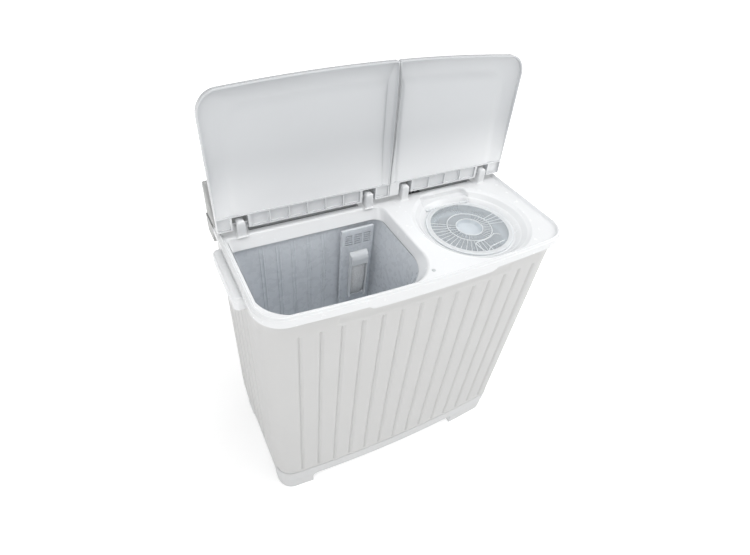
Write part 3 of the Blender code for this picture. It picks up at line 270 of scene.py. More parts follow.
# ---- mesh helpers ------------------------------------------------------------------------------------
class Surface:
    """Points and faces of one piece, gathered patch by patch."""

    def __init__(self):
        self.points, self.faces = [], []

    def add(self, points):
        start = len(self.points)
        self.points += [tuple(point) for point in points]
        return list(range(start, len(self.points)))

    def skin(self, rings, closed=True, first=False, last=False, left_out=None):
        """Joins rings of equal count; left_out(point) says which faces are missing, by their middles."""
        rows = [self.add(ring) for ring in rings]
        for low, high in zip(rows, rows[1:]):
            count = len(low)
            for j in range(count if closed else count - 1):
                k = (j + 1) % count
                corners = (low[j], low[k], high[k], high[j])
                if left_out:
                    middle = sum((Vector(self.points[i]) for i in corners), Vector()) / 4
                    if left_out(middle):
                        continue
                self.faces.append(corners)
        if first:
            self.faces.append(tuple(reversed(rows[0])))
        if last:
            self.faces.append(tuple(rows[-1]))
        return self

    def solid(self, rings):
        return self.skin(rings, first=True, last=True)

    def flat(self, outline, holes, z):
        """A level sheet inside an outline, with holes."""
        rings = [outline, *holes]
        points, edges, chains = [], [], []
        for ring in rings:
            start = len(points)
            points += [Vector((x, y)) for x, y in ring]
            count = len(ring)
            edges += [(start + i, start + (i + 1) % count) for i in range(count)]
            chains.append(list(range(start, start + count)))
        found, _, triangles, *_ = delaunay_2d_cdt(points, edges, [], 1, 1e-7)
        here = self.add([(p.x, p.y, z) for p in found])
        for triangle in triangles:
            middle = sum((found[i] for i in triangle), Vector((0, 0))) / 3
            if not any(inside(middle, hole) for hole in holes):
                self.faces.append(tuple(here[i] for i in triangle))
        return self

    def block(self, low, high, edge=0.0006, place=None):
        """A box with small rounded edges, between two corners."""
        size = [b - a for a, b in zip(low, high)]
        soft = min(edge, min(size) * 0.45)
        rings = []
        for z, inset in ((low[2], soft), (low[2] + soft, 0), (high[2] - soft, 0), (high[2], soft)):
            a, b = low[0] + inset, high[0] - inset
            c, d = low[1] + inset, high[1] - inset
            s = soft
            ring = [(a + s, c), (b - s, c), (b, c + s), (b, d - s)]
            ring += [(b - s, d), (a + s, d), (a, d - s), (a, c + s)]
            rings.append([(x, y, z) for x, y in ring])
        if place:
            rings = [[place(Vector(p)) for p in ring] for ring in rings]
        return self.solid(rings)

    def include(self, other):
        """Takes in another surface's points and faces."""
        start = len(self.points)
        self.points += other.points
        self.faces += [tuple(i + start for i in face) for face in other.faces]

    def moved(self, matrix):
        self.points = [tuple(matrix @ Vector(point)) for point in self.points]
        return self


def inside(point, outline):
    """Whether a point of the plane lies in an outline."""
    x, y = point
    odd = False
    for (ax, ay), (bx, by) in zip(outline, outline[1:] + outline[:1]):
        if (ay > y) != (by > y) and x < (bx - ax) * (y - ay) / (by - ay) + ax:
            odd = not odd
    return odd


def as_mesh(name, surface):
    mesh = bpy.data.meshes.new(name)
    mesh.from_pydata(surface.points, [], surface.faces)
    work = bmesh.new()
    work.from_mesh(mesh)
    bmesh.ops.remove_doubles(work, verts=work.verts, dist=0.000005)
    bmesh.ops.recalc_face_normals(work, faces=work.faces)
    work.to_mesh(mesh)
    work.free()
    return mesh


def carved(target, joins, cuts):
    """Joins surfaces to the target's mesh and then cuts others out of it."""
    tools = []
    for surface in (*joins, *cuts):
        tool = bpy.data.objects.new("tool", as_mesh("tool", surface))
        bpy.context.scene.collection.objects.link(tool)
        step = target.modifiers.new("carve", "BOOLEAN")
        step.operation = "UNION" if len(tools) < len(joins) else "DIFFERENCE"
        step.object = tool
        tools.append(tool)
    graph = bpy.context.evaluated_depsgraph_get()
    done = bpy.data.meshes.new_from_object(target.evaluated_get(graph))
    target.modifiers.clear()
    target.data = done
    for tool in tools:
        bpy.data.objects.remove(tool, do_unlink=True)


def piece(name, surface, body, finish, replaces=(), joins=(), cuts=(), angle=32):
    """A shown piece: its mesh, any carving, its material, and the body it moves with."""
    mesh = as_mesh(name, surface)
    thing = bpy.data.objects.new(name, mesh)
    bpy.context.scene.collection.objects.link(thing)
    if joins or cuts:
        carved(thing, joins, cuts)
    thing.data.materials.clear()
    thing.data.materials.append(FINISHES[finish])
    for face in thing.data.polygons:
        face.material_index = 0
    thing.data.shade_smooth()
    thing.data.set_sharp_from_angle(angle=math.radians(angle))
    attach(thing, body)
    if replaces:
        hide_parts(*replaces)
    return thing


def soften(thing, width, segments=2, angle=40):
    """Rounds a piece's sharp edges."""
    step = thing.modifiers.new("edges", "BEVEL")
    step.width = width
    step.segments = segments
    step.limit_method = "ANGLE"
    step.angle_limit = math.radians(angle)
    step.harden_normals = False
    return thing


def arc(centre, radius, start, end, steps):
    points = []
    for i in range(steps + 1):
        angle = math.radians(start + (end - start) * i / steps)
        points.append((centre[0] + radius * math.cos(angle), centre[1] + radius * math.sin(angle)))
    return points


def circle(centre, radius, z, sides):
    return [(x, y, z) for x, y in arc(centre, radius, 0, 360 * (sides - 1) / sides, sides - 1)]


def rounded(corners, radii, steps=12):
    """A convex outline, anticlockwise, with each corner rounded by its own radius."""
    points = []
    for i, corner in enumerate(corners):
        here = Vector(corner)
        back = (Vector(corners[i - 1]) - here).normalized()
        ahead = (Vector(corners[(i + 1) % len(corners)]) - here).normalized()
        half = back.angle(ahead) / 2
        centre = here + (back + ahead).normalized() * radii[i] / math.sin(half)
        start = here + back * radii[i] / math.tan(half) - centre
        sweep = math.pi - 2 * half
        for k in range(steps + 1):
            points.append(tuple(centre + Matrix.Rotation(sweep * k / steps, 2) @ start))
    return points


def rectangle(low, high, inset, radii, steps=4):
    """An outline between two corners, drawn in by inset and rounded, from the low corner."""
    (a, b), (c, d) = low, high
    corners = [(a + inset, b + inset), (c - inset, b + inset), (c - inset, d - inset), (a + inset, d - inset)]
    return rounded(corners, radii, steps)


def level(outline, z):
    return [(x, y, z) for x, y in outline]


def smooth(t):
    t = min(1.0, max(0.0, t))
    return t * t * (3 - 2 * t)


def powered(value, power):
    """A power that keeps the value's sign."""
    return math.copysign(abs(value) ** power, value)


def turned(profile, centre, sides, ends=(False, False)):
    """A profile of (radius, height) turned about the vertical."""
    return Surface().skin([circle(centre, r, z, sides) for r, z in profile], first=ends[0], last=ends[1])


# ---- outlines in plan --------------------------------------------------------------------------------
def front_edge(x, half, front, bow, radius):
    """The front's y at x, through the bowed middle and into the rounded corner."""
    reach = half - radius
    lean = math.atan(2 * bow * reach / half**2)
    edge = front - bow * (1 - (reach / half) ** 2)
    side = abs(x)
    if side <= reach:
        return front - bow * (1 - (x / half) ** 2)
    bend = reach + radius * math.sin(lean)
    start = edge + radius * (1 - math.cos(lean))
    if side <= bend:
        return edge + (start - edge) * (side - reach) / (bend - reach)
    return edge + radius - math.sqrt(max(0.0, radius**2 - (side - reach) ** 2))


def machine_outline(
    half, front, bow, back, radii, depth_at=None, side_marks=(), back_marks=(), marks=(), span=None
):
    """Anticlockwise from the front's left end, with a bowed front and rounded corners.
    depth_at(side, place) pushes a point of the front or of a side inwards; the front is followed
    by x as far as span, and beyond it by the corner's angle."""
    radius, back_radius = radii
    reach = half - radius
    edge = front - bow * (1 - (reach / half) ** 2)
    if span is None:
        span = reach + radius * math.sin(math.atan(2 * bow * reach / half**2))
    points = []
    for x in sorted([span * k / 24 for k in range(-24, 25)] + list(marks)):
        inwards = depth_at("front", x) if depth_at else 0.0
        points.append((x, front_edge(x, half, front, bow, radius) + inwards))
    start = -math.degrees(math.acos((span - reach) / radius))
    corner = arc((reach, edge + radius), radius, start, 0, 14)[1:]
    corner[-1] = (half, edge + radius)
    points += corner
    high = back - back_radius
    points += [(half - (depth_at("side", y) if depth_at else 0.0), y) for y in side_marks]
    points += arc((half - back_radius, high), back_radius, 0, 90, 8)
    points += [(x, back) for x in sorted(back_marks, reverse=True)]
    points += arc((back_radius - half, high), back_radius, 90, 180, 8)
    points += [((depth_at("side", y) if depth_at else 0.0) - half, y) for y in reversed(side_marks)]
    points += [(-x, y) for x, y in reversed(corner)]
    return points


def funnel_outline(grow):
    signs = [(-1, -1), (1, -1), (1, 1), (-1, 1)]
    moved = [(x + a * grow, y + b * grow) for (x, y), (a, b) in zip(FUNNEL_CORNERS, signs)]
    return rounded(moved, [radius + grow for radius in FUNNEL_RADII], 16)


def wash_outline(grow):
    left, right = WASH_X
    corners = [
        (left - grow, WASH_FRONT[0] - grow),
        (right + grow, WASH_FRONT[1] - grow),
        (right + grow, WASH_BACK + grow),
        (left - grow, WASH_BACK + grow),
    ]
    return rounded(corners, [max(radius + grow, 0.003) for radius in WASH_RADII], 16)


def dish_outline(radius, half_width, reach, sides=400):
    """The dish's edge round the spinner: a circle, with the hinge's square recess behind it."""
    points = []
    for k in range(sides):
        angle = 2 * math.pi * k / sides
        c, s = math.cos(angle), math.sin(angle)
        out = radius
        if s > 0.02 and half_width > 0:
            tab = ((abs(c) / half_width) ** 14 + (s / reach) ** 14) ** (-1 / 14)
            out = (radius**70 + tab**70) ** (1 / 70)
        points.append((SPIN_XY[0] + out * c, SPIN_XY[1] + out * s))
    return points


# ---- casing ------------------------------------------------------------------------------------------
def groove_depth(distance):
    """Depth of a soft V at a distance from its middle."""
    share = min(1.0, distance / GROOVE_HALF)
    return GROOVE_DEPTH * (1 - share) ** 1.15 * (1 + 0.15 * share)


def cabinet_ring(z, extra=0.0):
    down = (CABINET_TOP - z) / (CABINET_TOP - CABINET_BOTTOM)
    inset = CABINET_TAPER * down + extra
    radius = CABINET_CORNERS[0] - extra
    fronts = [(i - (FRONT_GROOVES - 1) / 2) * FRONT_PITCH for i in range(FRONT_GROOVES)]
    sides = [SIDE_FIRST + i * SIDE_PITCH for i in range(SIDE_GROOVES)]
    low, high = GROOVE_Z[0] + GROOVE_HALF, GROOVE_Z[1] - GROOVE_HALF
    past = max(0.0, low - z, z - high)

    def depth_at(side, place):
        nearest = min(abs(place - middle) for middle in (fronts if side == "front" else sides))
        return groove_depth(math.hypot(nearest, past))

    shares = (0.1, 0.25, 0.5, 0.75, 0.94, 1.06)
    steps = [GROOVE_HALF * share for share in [*(-share for share in reversed(shares)), 0, *shares]]
    marks = [middle + step for middle in fronts for step in steps]
    rungs = [middle + step for middle in sides for step in steps]
    holes = [OUTLET_XZ[0] - 0.0105, OUTLET_XZ[0] + 0.0105, GLAND_XZ[0] - 0.006, GLAND_XZ[0] + 0.006]
    outline = machine_outline(
        CABINET_HALF - inset,
        CABINET_FRONT + inset,
        CABINET_BOW,
        CABINET_BACK - extra,
        (radius, CABINET_CORNERS[1] - extra),
        depth_at,
        rungs,
        [-WINDOW_X, WINDOW_X, *holes],
        marks,
        0.336,
    )
    return level(outline, z)


def make_cabinet():
    steps = [-1.15, -0.98, -0.85, -0.7, -0.5, -0.3, -0.12, 0.05]
    low = [GROOVE_Z[0] + GROOVE_HALF + GROOVE_HALF * s for s in steps]
    high = [GROOVE_Z[1] - GROOVE_HALF - GROOVE_HALF * s for s in reversed(steps)]
    holes = [OUTLET_XZ[1] - 0.0105, OUTLET_XZ[1] + 0.0105, GLAND_XZ[1] - 0.006, GLAND_XZ[1] + 0.006]
    middle = sorted([*holes, *WINDOW_Z, 0.26, 0.33, 0.4, 0.47, 0.54, 0.66])
    rings = [cabinet_ring(CABINET_BOTTOM + 0.004, 0.006), cabinet_ring(CABINET_BOTTOM, 0.005)]
    rings += [cabinet_ring(CABINET_BOTTOM, 0.0008), cabinet_ring(CABINET_BOTTOM + 0.0008, 0.0)]
    rings += [cabinet_ring(z) for z in [*low, *middle, *high]]
    rings += [cabinet_ring(COLLAR_Z - 0.0006), cabinet_ring(COLLAR_Z, -0.0007)]
    rings.append(cabinet_ring(CABINET_TOP, -0.0007))
    rings += [cabinet_ring(CABINET_TOP, 0.003), cabinet_ring(CABINET_TOP - 0.03, 0.003)]

    def opening(middle):
        x, y, z = middle
        if y < CABINET_BACK - 0.01:
            return False
        if abs(x) < WINDOW_X and WINDOW_Z[0] < z < WINDOW_Z[1]:
            return True
        near = ((OUTLET_XZ, 0.0105), (GLAND_XZ, 0.006))
        return any(abs(x - a) < r and abs(z - b) < r for (a, b), r in near)

    shell = Surface().skin(rings, left_out=opening)
    piece("cabinet_shell", shell, "machine", "cabinet_white", replaces=["cabinet"], angle=50)


def base_outline(inset):
    half = CABINET_HALF - CABINET_TAPER - inset
    radii = (BASE_CORNERS[0] - inset, BASE_CORNERS[1] - inset)
    rungs = [-0.06, -0.02, 0.02, 0.06, 0.1, 0.14]
    front, back = CABINET_FRONT + CABINET_TAPER + inset, CABINET_BACK - inset
    return machine_outline(half, front, CABINET_BOW, back, radii, side_marks=rungs)


def make_base():
    profile = [(0.0, 0.0075), (0.0008, 0.0064), (0.002, 0.006), (0.044, 0.005), (0.052, 0.0047)]
    profile += [(0.053, 0.0044), (0.0535, 0.0031), (0.0545, 0.0028), (0.088, 0.0022), (0.09, 0.0022)]
    profile += [(0.0912, 0.003), (0.0925, 0.0046), (0.0945, 0.005), (0.0997, 0.005)]
    body = Surface().solid([level(base_outline(i), z) for z, i in profile])
    cuts = [Surface().solid([level(base_outline(0.015), z) for z in (0.049, 0.12)])]
    for name, (low, high) in (("front", FEET_X), ("side", FEET_Y)):
        outline = rectangle((low, -0.02), (high, ARCH_Z), 0.0, (0.001, 0.001, 0.015, 0.015), 8)
        if name == "front":
            rings = [[(x, y, z) for x, z in outline] for y in (0.3, -0.3)]
        else:
            rings = [[(x, y, z) for y, z in outline] for x in (-0.5, 0.5)]
        cuts.append(Surface().solid(rings))
    base = piece("base_tray", body, "machine", "base_white", replaces=["base_frame"], cuts=cuts, angle=30)
    soften(base, 0.0012, 2, 50)


def rim_rings():
    """The cover's rim, from inside its lower edge, round the outside and over the bead to the deck."""
    profile = [
        (0.018, 0.766, 0.0), (0.018, 0.7516, 0.0), (0.011, 0.7514, 0.0), (0.01, 0.7514, 0.5),
        (0.009, 0.7514, 1.0), (0.0014, 0.7514, 1.0), (0.0004, 0.7518, 1.0), (0.0, 0.7528, 1.0),
        (0.0, 0.756, 0.5), (0.0, 0.76, 0.0), (0.0, 0.7712, 0.0), (0.0006, 0.7721, 0.0),
        (0.0018, 0.7725, 0.0), (0.0023, 0.7732, 0.0), (0.0027, 0.7748, 0.0), (0.0036, 0.7766, 0.0),
        (0.005, 0.7777, 0.0), (0.0064, 0.7777, 0.0), (0.0077, 0.7766, 0.0), (0.0086, 0.7744, 0.0),
        (0.0094, 0.7722, 0.0), (0.0108, 0.7707, 0.0), (0.013, 0.7701, 0.0), (0.0158, DECK_Z, 0.0),
    ]
    rings = []
    for inset, z, share in profile:
        radii = [radius - inset for radius in RIM_CORNERS]
        outline = machine_outline(
            RIM_HALF - inset, RIM_FRONT + inset, RIM_BOW, RIM_BACK - inset, radii,
            side_marks=[-0.1, -0.05, 0.0, 0.05, 0.1, 0.1425, CONSOLE_FOOT_Y, 0.155],
            marks=[-0.175, -0.168, -0.16, -0.152, 0.152, 0.16, 0.168, 0.175],
        )
        ring = []
        for x, y in outline:
            high = z
            if y > CONSOLE_FOOT_Y - 0.0005:
                high = min(z, DECK_Z - 0.0002)
            if y < -0.15:
                high -= share * LIP_DROP * smooth((LIP_HALF + 0.01 - abs(x)) / 0.014)
            ring.append((x, y, high))
        rings.append(ring)
    return rings


def between(first, second, share):
    return [tuple(Vector(a).lerp(Vector(b), share)) for a, b in zip(first, second)]


def make_top_cover():
    cover = Surface()
    rings = rim_rings()
    cover.skin(rings)
    inner_rim = [(x, y) for x, y, _ in rings[-1]]

    wide, narrow = level(funnel_outline(0.0), DECK_Z), level(wash_outline(0.0), MOUTH_Z)
    funnel = [level(funnel_outline(0.0042), DECK_Z), level(funnel_outline(0.0026), DECK_Z - 0.0002)]
    funnel.append(level(funnel_outline(0.001), DECK_Z - 0.0009))
    funnel += [between(wide, narrow, share) for share in (0.09, 0.18, 0.35, 0.55, 0.75, 0.9)]
    funnel += [level(wash_outline(0.0009), MOUTH_Z + 0.0009), level(wash_outline(0.0002), MOUTH_Z)]
    funnel += [level(wash_outline(0.0), MOUTH_Z - 0.0008), level(wash_outline(0.0002), MOUTH_Z - 0.002)]
    funnel += [level(wash_outline(0.001), MOUTH_Z - 0.0027), level(wash_outline(0.005), MOUTH_Z - 0.0028)]
    cover.skin(funnel)

    dish_steps = [
        (0.1535, 0.076, 0.1445, DECK_Z), (0.1518, 0.0745, 0.143, DECK_Z - 0.0002),
        (0.1502, 0.0733, 0.1415, DECK_Z - 0.0009), (0.1488, 0.0726, 0.1406, DECK_Z - 0.0021),
        (0.1425, 0.0722, 0.1402, 0.7648), (0.1414, 0.0721, 0.1401, 0.7644),
        (0.1406, 0.0721, 0.1401, 0.7634), (0.1318, 0.0716, 0.1396, 0.7562),
        (0.1305, 0.0712, 0.139, 0.7546), (0.1296, 0.0704, 0.1382, 0.7541),
        (0.1293, 0.07, 0.12, 0.754), (0.129, 0.07, 0.115, 0.7539),
        (0.128, 0.0698, 0.1136, 0.7531), (0.119, 0.0696, 0.1126, 0.7456),
        (0.1182, 0.0692, 0.112, 0.7443), (0.117, 0.0685, 0.111, 0.7438),
        (0.104, 0.0, 0.0, 0.7438), (0.1026, 0.0, 0.0, 0.7434), (0.102, 0.0, 0.0, 0.7424),
        (0.102, 0.0, 0.0, 0.7406), (0.106, 0.0, 0.0, 0.7402),
    ]
    cover.skin([level(dish_outline(r, w, b), z) for r, w, b, z in dish_steps])

    slots = []
    for ears in (EARS_WASH, EARS_SPIN):
        low, high = ears[0] + 0.02, ears[1] - 0.02
        holes = []
        for grow, z in ((0.0, DECK_Z), (-0.0006, DECK_Z - 0.0006), (-0.0008, DECK_Z - 0.01)):
            holes.append(level(rectangle((low, 0.1105), (high, 0.1265), -grow, (0.003,) * 4), z))
        cover.skin(holes, last=True)
        slots.append([(x, y) for x, y, _ in holes[0]])

    openings = [[(x, y) for x, y, _ in funnel[0]], dish_outline(*dish_steps[0][:3]), *slots]
    cover.flat(inner_rim, openings, DECK_Z)
    for x in EARS_WASH + EARS_SPIN:
        add_ear(cover, x)
    piece("top_cover_shell", cover, "machine", "cover_white", replaces=["top_cover"], angle=40)

    # Dark sheets on the hinge slots' floors: painted shade under the lid heels.
    shadow = Surface()
    for ears in (EARS_WASH, EARS_SPIN):
        shadow.block((ears[0] + 0.0212, 0.112, DECK_Z - 0.0096), (ears[1] - 0.0212, 0.125, DECK_Z - 0.0086))
    piece("hinge_slot_painted_shade", shadow, "machine", "shadow_grey")
    latch = Surface()
    for x, width in ((0.118, 0.01), (0.134, 0.006), (0.147, 0.01)):
        latch.block((x - width / 2, 0.1135, DECK_Z - 0.0088), (x + width / 2, 0.1225, DECK_Z - 0.001), 0.001)
    piece("lid_switch_lever", latch, "machine", "black_plastic")


def add_ear(cover, x):
    """The lug that carries a lid's pin: flared at its foot and rounded on top."""
    steps = [
        (0.0045, DECK_Z - 0.0001), (0.0022, 0.7704), (0.0008, 0.7716), (0.0, 0.7738), (0.0, 0.79),
        (-0.0002, 0.803), (-0.0008, 0.8056), (-0.002, 0.8078), (-0.0038, 0.8093), (-0.006, 0.8099),
    ]
    rings = []
    for grow, z in steps:
        half, low, high = EAR_HALF + grow, HINGE_Y - 0.013 - grow, HINGE_Y + 0.01 + min(grow, 0.0)
        outline = rectangle((x - half, low), (x + half, high), 0.0, (0.0022, 0.0022, 0.0012, 0.0012))
        rings.append(level(outline, z))
    cover.skin(rings, last=True)


def make_bumper_plug():
    profile = [(0.0001, 0.0017), (0.0018, 0.0016), (0.0034, 0.0013)]
    profile += [(0.0045, 0.0008), (0.0049, 0.0003), (0.0042, 0.0)]
    surface = turned([(r, DECK_Z + z) for r, z in profile], PLUG_XY, 28)
    piece("bumper_button", surface, "machine", "filter_grey", replaces=["bumper_plug"])


def make_handles():
    inner, outer, top = CABINET_HALF + 0.0003, HANDLE_REACH, HANDLE_Z[1]
    steps = [
        (0.0045, top - 0.0032), (0.003, top - 0.0042), (0.0027, 0.719), (0.0022, 0.7164),
        (0.001, 0.716), (0.0, 0.717), (0.0, top - 0.006), (0.0005, top - 0.0034),
        (0.0017, top - 0.0014), (0.0034, top - 0.0003), (0.005, top),
    ]
    for name, sign in (("left_handle", -1), ("right_handle", 1)):
        rings = []
        for inset, z in steps:
            low, high = (inner + min(inset, 0.003), HANDLE_Y[0] + inset), (outer - inset, HANDLE_Y[1] - inset)
            outline = rectangle(low, high, 0.0, (0.001, 0.014 - inset, 0.014 - inset, 0.001), 8)
            rings.append([(sign * x, y, z) for x, y in outline])
        piece(f"{name}_lip", Surface().solid(rings), "machine", "cover_white", replaces=[name])


# ---- console -----------------------------------------------------------------------------------------
def console_profile(inset):
    corners = [(0.144, 0.7703), (0.214, 0.7703), (0.214, 0.8505), (0.209, 0.8605), (0.201, 0.8635)]
    corners += [(0.195, 0.8605), (0.149, 0.802), (0.144, 0.796)]
    middle = Vector((0.18, 0.81))
    shrunk = []
    for corner in corners:
        away = Vector(corner) - middle
        shrunk.append(tuple(middle + away * (1 - inset / away.length)))
    radii = (0.0008, 0.0008, 0.004, 0.004, 0.003, 0.004, 0.004, 0.003)
    return rounded(shrunk, radii, 4)


def panel_frame(x, offset=0.0):
    """The middle of the sloping face at x, moved outwards, with its outward and upward ways."""
    low, high = Vector(PANEL_LOW), Vector(PANEL_HIGH)
    up = (high - low).normalized()
    out = Vector((-up.y, up.x))
    middle = (low + high) / 2 + out * offset
    return Vector((x, *middle)), Vector((0, *out)), Vector((0, *up))


def panel_matrix(x, offset=0.0):
    """Local X across, Y up the slope and Z outwards from the sloping face."""
    middle, out, up = panel_frame(x, offset)
    turn = Matrix((up.cross(out), up, out)).transposed().to_4x4()
    return Matrix.Translation(middle) @ turn


def make_console():
    rings = []
    ends = [(-CONSOLE_HALF, 0.004), (-CONSOLE_HALF + 0.0004, 0.0022), (-CONSOLE_HALF + 0.0016, 0.0008)]
    ends.append((-CONSOLE_HALF + 0.004, 0.0))
    for x, inset in ends + [(-x, inset) for x, inset in reversed(ends)]:
        rings.append([(x, y, z) for y, z in console_profile(inset)])
    body = Surface().solid(rings)
    round_bore = arc((INLET_X, INLET_Z), 0.011, 0, 350, 35)
    bore = [[(x, y, z) for x, z in round_bore] for y in (0.186, 0.22)]
    cuts = [Surface().solid(bore)]
    skirts = []
    for sign in (-1, 1):
        skirt = Surface()
        profile = [(0.156, 0.723), (0.214, 0.723), (0.214, 0.7712), (0.152, 0.7712)]
        outline = rounded(profile, (0.006, 0.003, 0.0005, 0.0005), 5)
        rings = []
        for x, grow in ((0.386, 0.0), (0.4, 0.0), (0.4008, -0.0008)):
            rings.append([(sign * x, y + (grow if y > 0.18 else -grow), z - grow * 0.5) for y, z in outline])
        skirts.append(skirt.solid(rings))
    piece("console_body", body, "machine", "console_grey", replaces=["control_console"],
          joins=skirts, cuts=cuts, angle=35)

    plate = Surface()
    steps = [(0.0, 0.0003), (0.0, 0.0012), (0.0003, 0.0016), (0.0009, 0.0018)]
    rings = []
    for inset, z in steps:
        rings.append(level(rectangle((-0.372, -0.029), (0.372, 0.029), inset, (0.01 - inset,) * 4, 6), z))
    plate.solid(rings).moved(panel_matrix(0.0))
    piece("fascia_plate", plate, "machine", "panel_grey", replaces=["control_panel"])

    marks = Surface()
    for name, x in KNOB_X.items():
        matrix = panel_matrix(x, 0.0018)
        count = 5 if name == "drain_selector" else 16
        for k in range(count):
            turn = Matrix.Rotation(math.radians(90 - 300 * k / 15), 4, "Z")
            tall = 0.003 if k % 5 == 0 else 0.0018
            tick = Surface().block((0.0225, -0.00035, -0.0001), (0.0225 + tall, 0.00035, 0.00012), 0.0001)
            marks.include(tick.moved(matrix @ turn))
    line = Surface()
    for low, high in ((-0.365, -0.265), (-0.175, -0.045), (0.045, 0.175), (0.265, 0.365)):
        line.block((low, -0.024, -0.0001), (high, -0.0232, 0.00012), 0.0001)
    marks.include(line.moved(panel_matrix(0.0, 0.0018)))
    piece("dial_marks", marks, "machine", "panel_marks")

    for name, x in KNOB_X.items():
        knob, pointer = knob_surface()
        matrix = panel_matrix(x)
        body = f"{name}_knob"
        piece(f"{name}_dial", knob.moved(matrix), body, "knob_grey", replaces=[body], angle=40)
        piece(f"{name}_pointer", pointer.moved(matrix), body, "panel_marks")


def knob_surface():
    """A dial with a finger bar; local Z is its spindle and Y the way it points."""
    sides = 96
    knob = Surface()
    rings = []
    profile = [(0.0035, -0.011), (0.0035, 0.003), (0.018, 0.003), (0.0192, 0.0033), (0.0195, 0.0042)]
    profile += [(0.0194, 0.0056), (0.0188, 0.007), (0.0176, 0.0079), (0.015, 0.0082)]
    for radius, z in profile:
        rings.append(circle((0, 0), radius, z, sides))
    for tall, wide, z in ((0.015, 0.0048, 0.0084), (0.0148, 0.0042, 0.0092), (0.0146, 0.0039, 0.015)):
        angles = [2 * math.pi * k / sides for k in range(sides)]
        bar = [(wide * powered(math.cos(a), 0.5), tall * powered(math.sin(a), 0.8)) for a in angles]
        rings.append(level(bar, z))
    last = rings[-1]
    rings.append([(x * 0.92, y * 0.985, 0.0172) for x, y, _ in last])
    rings.append([(x * 0.72, y * 0.96, 0.018) for x, y, _ in last])
    knob.solid(rings)
    pointer = Surface().block((-0.0006, 0.003, 0.01785), (0.0006, 0.0125, 0.01815), 0.0002)
    return knob, pointer


# ---- lids --------------------------------------------------------------------------------------------
def lid_outline(x_range, inset, heel, radius=0.05, narrow=1.0):
    """The lid in plan, from its pin; its split side is drawn in less where narrow is below 1."""
    outer_left = abs(x_range[0]) > abs(x_range[1])
    left = x_range[0] + inset * (1.0 if outer_left else narrow)
    right = x_range[1] - inset * (narrow if outer_left else 1.0)
    wide, tight = max(radius - inset, 0.004), max(0.006 - inset, 0.002) if narrow == 1.0 else 0.006
    radii = (wide, tight) if outer_left else (tight, wide)

    def front(x):
        return -(LID_REACH - inset + RIM_BOW * (1 - (x / RIM_HALF) ** 2))

    points = []
    first, last = radii
    y = front(left + first)
    points += arc((left + first, y + first), first, 180, 270, 14)
    span = (right - last) - (left + first)
    points += [(left + first + span * k / 14, front(left + first + span * k / 14)) for k in range(1, 14)]
    y = front(right - last)
    points += arc((right - last, y + last), last, 270, 360, 14)
    points += [(right, heel), (left, heel)]
    return side_rungs(points)


def side_rungs(points, rungs=16):
    """Adds points down both straight sides and along the heel, closer together towards the heel."""
    *curve, right_heel, left_heel = points
    last, first = curve[-1], curve[0]
    down = [1 - (1 - k / rungs) ** 1.8 for k in range(1, rungs)]
    right = [tuple(Vector(right_heel).lerp(Vector(last), (1 - share))) for share in down]
    across = [tuple(Vector(right_heel).lerp(Vector(left_heel), k / rungs)) for k in range(rungs + 1)]
    left = [tuple(Vector(left_heel).lerp(Vector(first), share)) for share in [1 - s for s in reversed(down)]]
    return curve + right + across + left


def pan_depth(inset, y):
    """Height of the lid's inside at an inset from its edge; it comes up towards the hinge."""
    steps = [
        (0.004, 0.0000), (0.0046, 0.0012), (0.01, 0.0032), (0.02, 0.0062), (0.03, 0.0086),
        (0.036, 0.0096), (0.04, 0.0097), (0.043, 0.0092), (0.048, 0.0078), (0.054, 0.0066),
        (0.06, 0.006), (0.09, 0.0056), (0.2, 0.0054),
    ]
    height = steps[-1][1]
    for (a, low), (b, high) in zip(steps, steps[1:]):
        if inset <= b:
            height = low + (high - low) * (inset - a) / (b - a)
            break
    near = min(1.0, max(0.0, (-y - STRIP) / 0.135))
    rise = 0.0095 * (1 - near) ** 2
    return min(height, max(height - rise, -0.004))


def split_drop(y):
    """How much deeper the edge along the split hangs, at a distance from the pin."""
    return 0.0068 * smooth((-y - 0.03) / 0.13) * smooth((0.3 + y) / 0.014)


def lid_frame():
    return Matrix.Translation((0, HINGE_Y, HINGE_Z)) @ Matrix.Rotation(-math.pi / 2 - LEAN, 4, "X")


